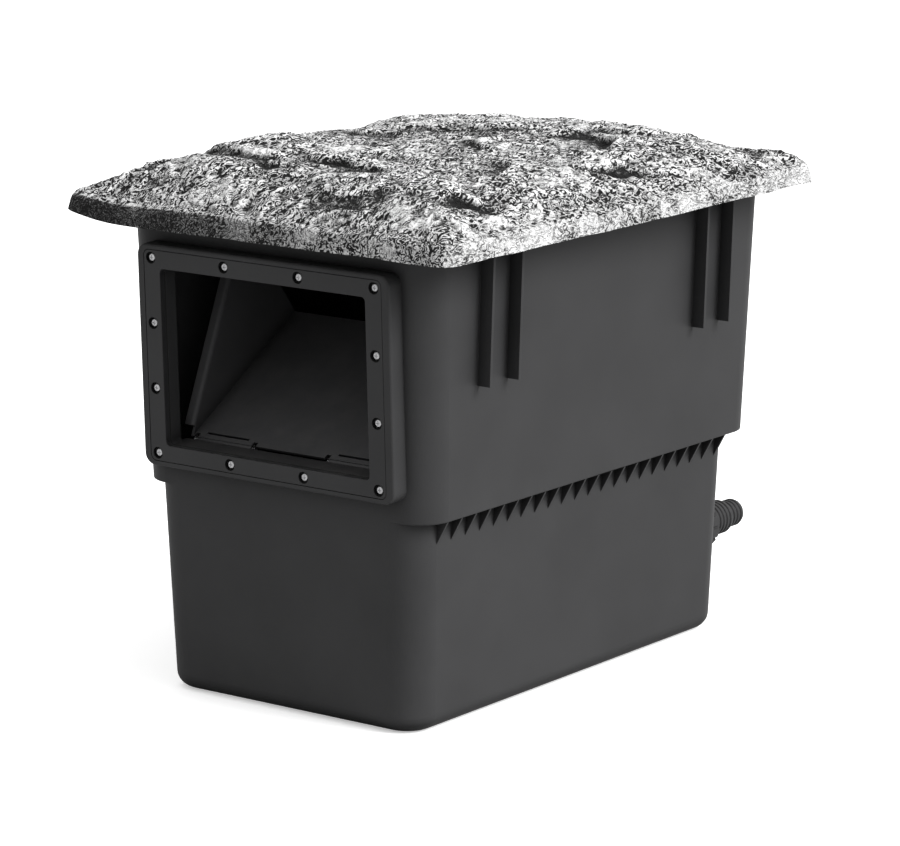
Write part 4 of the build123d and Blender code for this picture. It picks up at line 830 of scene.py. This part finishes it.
class SKIMMER_OT_rock_lid(bpy.types.Operator):
    """Cast rock-look lid: a crumpled shell with a bearing rib and a locating rib inside"""

    bl_idname = "skimmer.rock_lid"
    bl_label = "Rock Lid"

    def execute(self, context):
        settings = context.scene.skimmer_lid
        low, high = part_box("rock_lid")
        centre = (low + high) / 2 / MM
        half_x = (high.x - low.x) / 2 / MM - OUTLINE_GAP
        half_y = (high.y - low.y) / 2 / MM - OUTLINE_GAP
        outline = half_x, half_y, settings.corner / MM
        lines_x, lines_y = (spaced(half, settings.cell / MM) for half in (half_x, half_y))
        size = len(lines_x), len(lines_y)
        inner_size = tuple((lines - 1) // INSIDE_STEP + 1 for lines in size)
        outer, shading = lid_surface(lines_x, lines_y, outline, settings.wander / MM)
        inner = lid_inside(outer, *size, settings.wall / MM, outline)
        # the strip that joins the two grids round the lower edge
        outer_loop, inner_loop = border_loop(*size), border_loop(*inner_size)
        inner[inner_loop, 2] = outer[outer_loop[::INSIDE_STEP], 2]
        start = len(outer)
        faces = grid_faces(*size) + renumbered(grid_faces(*inner_size, flip=True), start)
        for k, point in enumerate(inner_loop):
            after = inner_loop[(k + 1) % len(inner_loop)]
            run = [outer_loop[(k * INSIDE_STEP + n) % len(outer_loop)] for n in range(INSIDE_STEP, -1, -1)]
            faces.append((start + point, start + after, *run))
        points = np.concatenate((outer, inner))
        points += np.array((centre.x, centre.y, low.z / MM))
        shell_points = len(points)
        pad_low, pad_high = (corner_point / MM for corner_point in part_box("lid_pads"))
        middle = np.array(((pad_low.x + pad_high.x) / 2, (pad_low.y + pad_high.y) / 2))
        pad_x, pad_y = (pad_high.x - pad_low.x) / 2, (pad_high.y - pad_low.y) / 2
        ceiling = points[start:] + np.array((0.0, 0.0, RIB_EMBED))
        for inset, thickness, drop in RIBS:
            outline = pad_x - inset, pad_y - inset, middle, RIB_CORNER - inset
            ring_points, ring_faces = rib_ring(*outline, thickness, pad_high.z - drop, ceiling)
            faces += renumbered(ring_faces, len(points))
            points = np.concatenate((points, ring_points))
        lid = link_mesh("rock_lid_shell", points * MM, faces, rock_material(settings))
        shading["inside"] = np.zeros(start)
        for name, values in shading.items():
            rest = np.full(len(points) - start, 1.0 if name == "inside" else 0.0)
            shade = lid.data.attributes.new(name, "FLOAT", "POINT")
            shade.data.foreach_set("value", np.concatenate((values, rest)).astype(np.float32))
        # sharp edges along the lower edge's outer line and all over the ribs
        crisp = np.zeros(len(points), bool)
        crisp[outer_loop] = True
        crisp[shell_points:] = True
        ends = np.empty(2 * len(lid.data.edges), np.int32)
        lid.data.edges.foreach_get("vertices", ends)
        sharp = lid.data.attributes.new("sharp_edge", "BOOLEAN", "EDGE")
        sharp.data.foreach_set("value", crisp[ends].reshape(-1, 2).all(axis=1))
        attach(lid, "lid")
        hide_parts("rock_lid")
        return {"FINISHED"}


# ---------------------------------------------------------------- foams and float, in metres
# Feature size of the foams' uneven skin, and its depth in millimetres
SKIN_SIZE, SKIN_DEPTH = 9 * MM, 0.35
# Bays of the cartridge frames, and how quickly the foam swells beside a bar
BAYS_ACROSS, BAYS_UP, SWELL_SPEED = 4, 5, 2.2
# Tilt of the weir flap at rest in degrees, and the spacing of the pegs that hold its float
FLAP_TILT, PEG_SPACING = 32.0, 75.0 * MM
# The float: rounding of its edges, depth and feature size of its uneven faces, and its dimples' depth
# and radius
EDGE_ROUND = 4.0 * MM
FACE_DEPTH, FACE_SIZE = 0.0006, 24 * MM
DIMPLE_DEPTH, DIMPLE_RADIUS = 0.0012, 12 * MM


def swollen_slab(name, low, high, cell, bulge, material):
    """A foam block with soft edges whose broad faces swell out by bulge(x, z)."""
    size = high - low
    counts = [max(2, round(size[axis] / cell)) for axis in range(3)]
    vertices, faces, index = [], [], {}

    def vertex(at):
        if at not in index:
            index[at] = len(vertices)
            vertices.append([low[axis] + size[axis] * at[axis] / counts[axis] for axis in range(3)])
        return index[at]

    for axis in range(3):
        first, second = [other for other in range(3) if other != axis]
        for side in (0, counts[axis]):
            for i in range(counts[first]):
                for j in range(counts[second]):
                    ring = []
                    for di, dj in ((0, 0), (1, 0), (1, 1), (0, 1)):
                        at = [0, 0, 0]
                        at[axis], at[first], at[second] = side, i + di, j + dj
                        ring.append(vertex(tuple(at)))
                    outward = (side > 0) == (axis != 1)
                    faces.append(tuple(ring if outward else ring[::-1]))
    centre = (low + high) / 2
    for place in vertices:
        swell = bulge(place[0] - centre.x, place[2] - centre.z)
        # points of the two broad faces, and no others, swell out
        if abs(place[1] - centre.y) > size.y * 0.49:
            place[1] += math.copysign(swell, place[1] - centre.y)
        wobble = noise.noise(Vector(place) / SKIN_SIZE) * SKIN_DEPTH * MM
        away = (Vector(place) - centre).normalized()
        for axis in range(3):
            place[axis] -= abs(wobble) * away[axis]
    return link_mesh(name, vertices, faces, material)


def float_block(half, cell, material):
    """A skinned foam block with rounded edges, and a dimple round each of its three pegs."""

    def bulge(x, z):
        return -FACE_DEPTH * (1.0 + noise.noise(Vector((x, z, 0.3)) / FACE_SIZE))

    block = swollen_slab("weir_float_block", -half, half, cell, bulge, material)
    for vertex in block.data.vertices:
        place = vertex.co
        sides = [side - EDGE_ROUND for side in half]
        core = Vector([max(-side, min(side, at)) for side, at in zip(sides, place)])
        out = place - core
        if out.length > EDGE_ROUND:
            place = core + out.normalized() * EDGE_ROUND
        near = min(math.hypot(place.x - peg, place.y) for peg in (-PEG_SPACING, 0.0, PEG_SPACING))
        place.z -= math.copysign(DIMPLE_DEPTH * math.exp(-((near / DIMPLE_RADIUS) ** 2)), place.z)
        vertex.co = place
    return block


class SKIMMER_OT_filter_foams(bpy.types.Operator):
    """Coarse and fine foam slabs that swell out between the bars of their frames"""

    bl_idname = "skimmer.filter_foams"
    bl_label = "Filter Foams"

    def execute(self, context):
        settings = context.scene.skimmer_foam
        # colour, cells per metre and depth of the cells
        looks = {
            "coarse": (settings.coarse_colour, 260.0, 2.0 * MM),
            "fine": (settings.fine_colour, 520.0, 1.0 * MM),
        }
        for grade, look in looks.items():
            material = foam_material(grade.title() + " Foam", *look)
            low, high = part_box(grade + "_foam")
            width, height = high.x - low.x, high.z - low.z

            def bulge(x, z):
                across = abs(math.sin(math.pi * (x / width + 0.5) * BAYS_ACROSS))
                up = abs(math.sin(math.pi * (z / height + 0.5) * BAYS_UP))
                return settings.swell * min(1.0, SWELL_SPEED * across) * min(1.0, SWELL_SPEED * up)

            slab = swollen_slab(grade + "_foam_slab", low, high, settings.cell, bulge, material)
            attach(slab, grade + "_cartridge")
            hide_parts(grade + "_foam")
        return {"FINISHED"}


class SKIMMER_OT_weir_float(bpy.types.Operator):
    """Skinned closed-cell float under the weir flap"""

    bl_idname = "skimmer.weir_float"
    bl_label = "Weir Float"

    def execute(self, context):
        settings = context.scene.skimmer_foam
        material = plastic("Float Skin", settings.float_colour, 0.72, 0.5 * MM, dust=0.1, grain_scale=260.0)
        # the block lies along the flap, so its length and thickness come from its box and the tilt
        low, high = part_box("weir_float")
        tilt = math.radians(FLAP_TILT)
        depth, rise_z = high.y - low.y, high.z - low.z
        length = (depth * math.cos(tilt) - rise_z * math.sin(tilt)) / math.cos(2 * tilt)
        thick = (rise_z * math.cos(tilt) - depth * math.sin(tilt)) / math.cos(2 * tilt)
        half = Vector(((high.x - low.x) / 2, length / 2, thick / 2))
        piece = float_block(half, settings.cell / 2, material)
        piece.rotation_euler.x = tilt
        piece.location = (low + high) / 2
        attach(piece, "weir")
        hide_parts("weir_float")
        return {"FINISHED"}


# ---------------------------------------------------------------- finishes of the moulded and metal parts
def finish(node, material):
    """Gives a CAD node one material."""
    node.data.materials.clear()
    node.data.materials.append(material)


def finish_slot(slot, material):
    """Gives every CAD node of a record slot a material."""
    for part in frame["record"]["subparts"]:
        node = frame["nodes"].get(part["node"])
        if node is not None and part["material_slot"] == slot:
            finish(node, material)


class SKIMMER_OT_plastics(bpy.types.Operator):
    """Satin black plastics of the tub, faceplate, weir, basket and grids"""

    bl_idname = "skimmer.plastics"
    bl_label = "Moulded Plastics"

    def execute(self, context):
        colours = context.scene.skimmer_plastic
        # roughness of the shine, and depth of the grain
        finish_slot("black_plastic", plastic("Tub Plastic", colours.black, 0.42, 0.12 * MM))
        finish_slot("weir_plastic", plastic("Weir Plastic", colours.weir, 0.38, 0.08 * MM))
        finish_slot("basket_plastic", plastic("Basket Plastic", colours.basket, 0.45, 0.12 * MM))
        finish_slot("grid_plastic", plastic("Grid Plastic", colours.grid, 0.50, 0.15 * MM))
        # the faceplate is of the tub's plastic, and more polished
        polished = plastic("Faceplate Plastic", colours.faceplate, 0.36, 0.10 * MM, dust=0.08, gloss=0.25)
        finish(frame["nodes"]["faceplate"], polished)
        return {"FINISHED"}


class SKIMMER_OT_rubber_and_steel(bpy.types.Operator):
    """Rubber of the seals and pads, and stainless steel of the screws and pins"""

    bl_idname = "skimmer.rubber_and_steel"
    bl_label = "Rubber and Steel"

    def execute(self, context):
        finish_slot("rubber", rubber("Seal Rubber", context.scene.skimmer_plastic.rubber))
        finish_slot("stainless_steel", steel("Stainless Steel"))
        return {"FINISHED"}


# ---------------------------------------------------------------- studio
FLOOR_RADIUS, FLOOR_SIDES, FLOOR_DROP = 30.0, 96, 0.5 * MM
# Share of the floor's colour that the object sees, so that little light comes back up from it
FLOOR_RETURN = 0.5
CAMERA_SENSOR, CAMERA_REACH = 36.0, 100.0


def pale_floor(studio):
    """The floor's disc, which shines a little by itself towards the camera."""
    material, tree, surface = new_material("Pale Floor")
    seen = put(tree, "ShaderNodeLightPath").outputs["Is Camera Ray"]
    colour, glow = studio.floor_colour, studio.floor_glow
    feed(tree, surface, {
        "Base Color": mix_colour(tree, seen, scaled(colour, FLOOR_RETURN), scaled(colour, 1.0)),
        "Emission Color": mix_colour(tree, seen, (0.0, 0.0, 0.0, 1.0), (glow, glow, glow, 1.0)),
        "Emission Strength": 1.0,
        "Roughness": 0.9,
        "Specular IOR Level": 0.1,
    })
    shape = bmesh.new()
    bmesh.ops.create_circle(shape, cap_ends=True, segments=FLOOR_SIDES, radius=FLOOR_RADIUS)
    mesh = bpy.data.meshes.new("studio_floor")
    shape.to_mesh(mesh)
    shape.free()
    mesh.materials.append(material)
    floor = bpy.data.objects.new("studio_floor", mesh)
    floor.location.z = -FLOOR_DROP
    return floor


def soft_surround(studio):
    """A white world that is brightest overhead, and plain white to the camera."""
    world = bpy.data.worlds.new("Studio Surround")
    world.use_nodes = True
    tree = world.node_tree
    direction = put(tree, "ShaderNodeTexCoord").outputs["Generated"]
    height = put(tree, "ShaderNodeSeparateXYZ", {"Vector": direction}).outputs["Z"]
    sky = remap(tree, height, 0.0, 1.0, studio.horizon, studio.zenith)
    seen = put(tree, "ShaderNodeLightPath").outputs["Is Camera Ray"]
    looks = {"Color": (1.0, 1.0, 1.0, 1.0), "Strength": remap(tree, seen, 0.0, 1.0, sky, 1.0)}
    feed(tree, tree.nodes["Background"], looks)
    return world


class SKIMMER_OT_studio(bpy.types.Operator):
    """Pale floor, soft lights and the camera"""

    bl_idname = "skimmer.studio"
    bl_label = "Studio"

    def execute(self, context):
        scene = context.scene
        studio = scene.skimmer_studio
        floor = pale_floor(studio)
        sun = bpy.data.lights.new("key", "SUN")
        sun.energy = studio.key_strength
        sun.angle = studio.key_softness
        key = bpy.data.objects.new("key", sun)
        key.rotation_euler = Vector(studio.key_from).to_track_quat("Z", "Y").to_euler()
        camera_data = bpy.data.cameras.new("camera")
        camera_data.sensor_width = CAMERA_SENSOR
        camera_data.lens = studio.lens
        camera_data.clip_end = CAMERA_REACH
        camera = bpy.data.objects.new("camera", camera_data)
        camera.location = studio.place
        camera.rotation_euler = (math.pi / 2 - studio.tilt, 0.0, studio.turn)
        for made in (floor, key, camera):
            scene.collection.objects.link(made)
        scene.world = soft_surround(studio)
        scene.view_settings.view_transform = "Standard"
        scene.camera = camera
        return {"FINISHED"}


# ---------------------------------------------------------------- panel and registration
class SKIMMER_PT_build(bpy.types.Panel):
    """Lists the pieces in the 3D view's sidebar"""

    bl_label = "Pond Skimmer"
    bl_idname = "SKIMMER_PT_build"
    bl_space_type = "VIEW_3D"
    bl_region_type = "UI"
    bl_category = "Skimmer"

    def draw(self, context):
        for operator in OPERATORS:
            self.layout.operator(operator.bl_idname)


SETTINGS = {
    "skimmer_lid": RockLidSettings,
    "skimmer_foam": FoamSettings,
    "skimmer_plastic": PlasticSettings,
    "skimmer_studio": StudioSettings,
}
OPERATORS = (
    SKIMMER_OT_rock_lid,
    SKIMMER_OT_filter_foams,
    SKIMMER_OT_weir_float,
    SKIMMER_OT_plastics,
    SKIMMER_OT_rubber_and_steel,
    SKIMMER_OT_studio,
)
CLASSES = (*SETTINGS.values(), *OPERATORS, SKIMMER_PT_build)


def register():
    for made in CLASSES:
        bpy.utils.register_class(made)
    for name, group in SETTINGS.items():
        setattr(bpy.types.Scene, name, PointerProperty(type=group))


def unregister():
    for name in SETTINGS:
        delattr(bpy.types.Scene, name)
    for made in reversed(CLASSES):
        bpy.utils.unregister_class(made)


def main():
    register()
    bpy.ops.skimmer.rock_lid()
    bpy.ops.skimmer.filter_foams()
    bpy.ops.skimmer.weir_float()
    bpy.ops.skimmer.plastics()
    bpy.ops.skimmer.rubber_and_steel()
    bpy.ops.skimmer.studio()


if __name__ == "__main__":
    main()
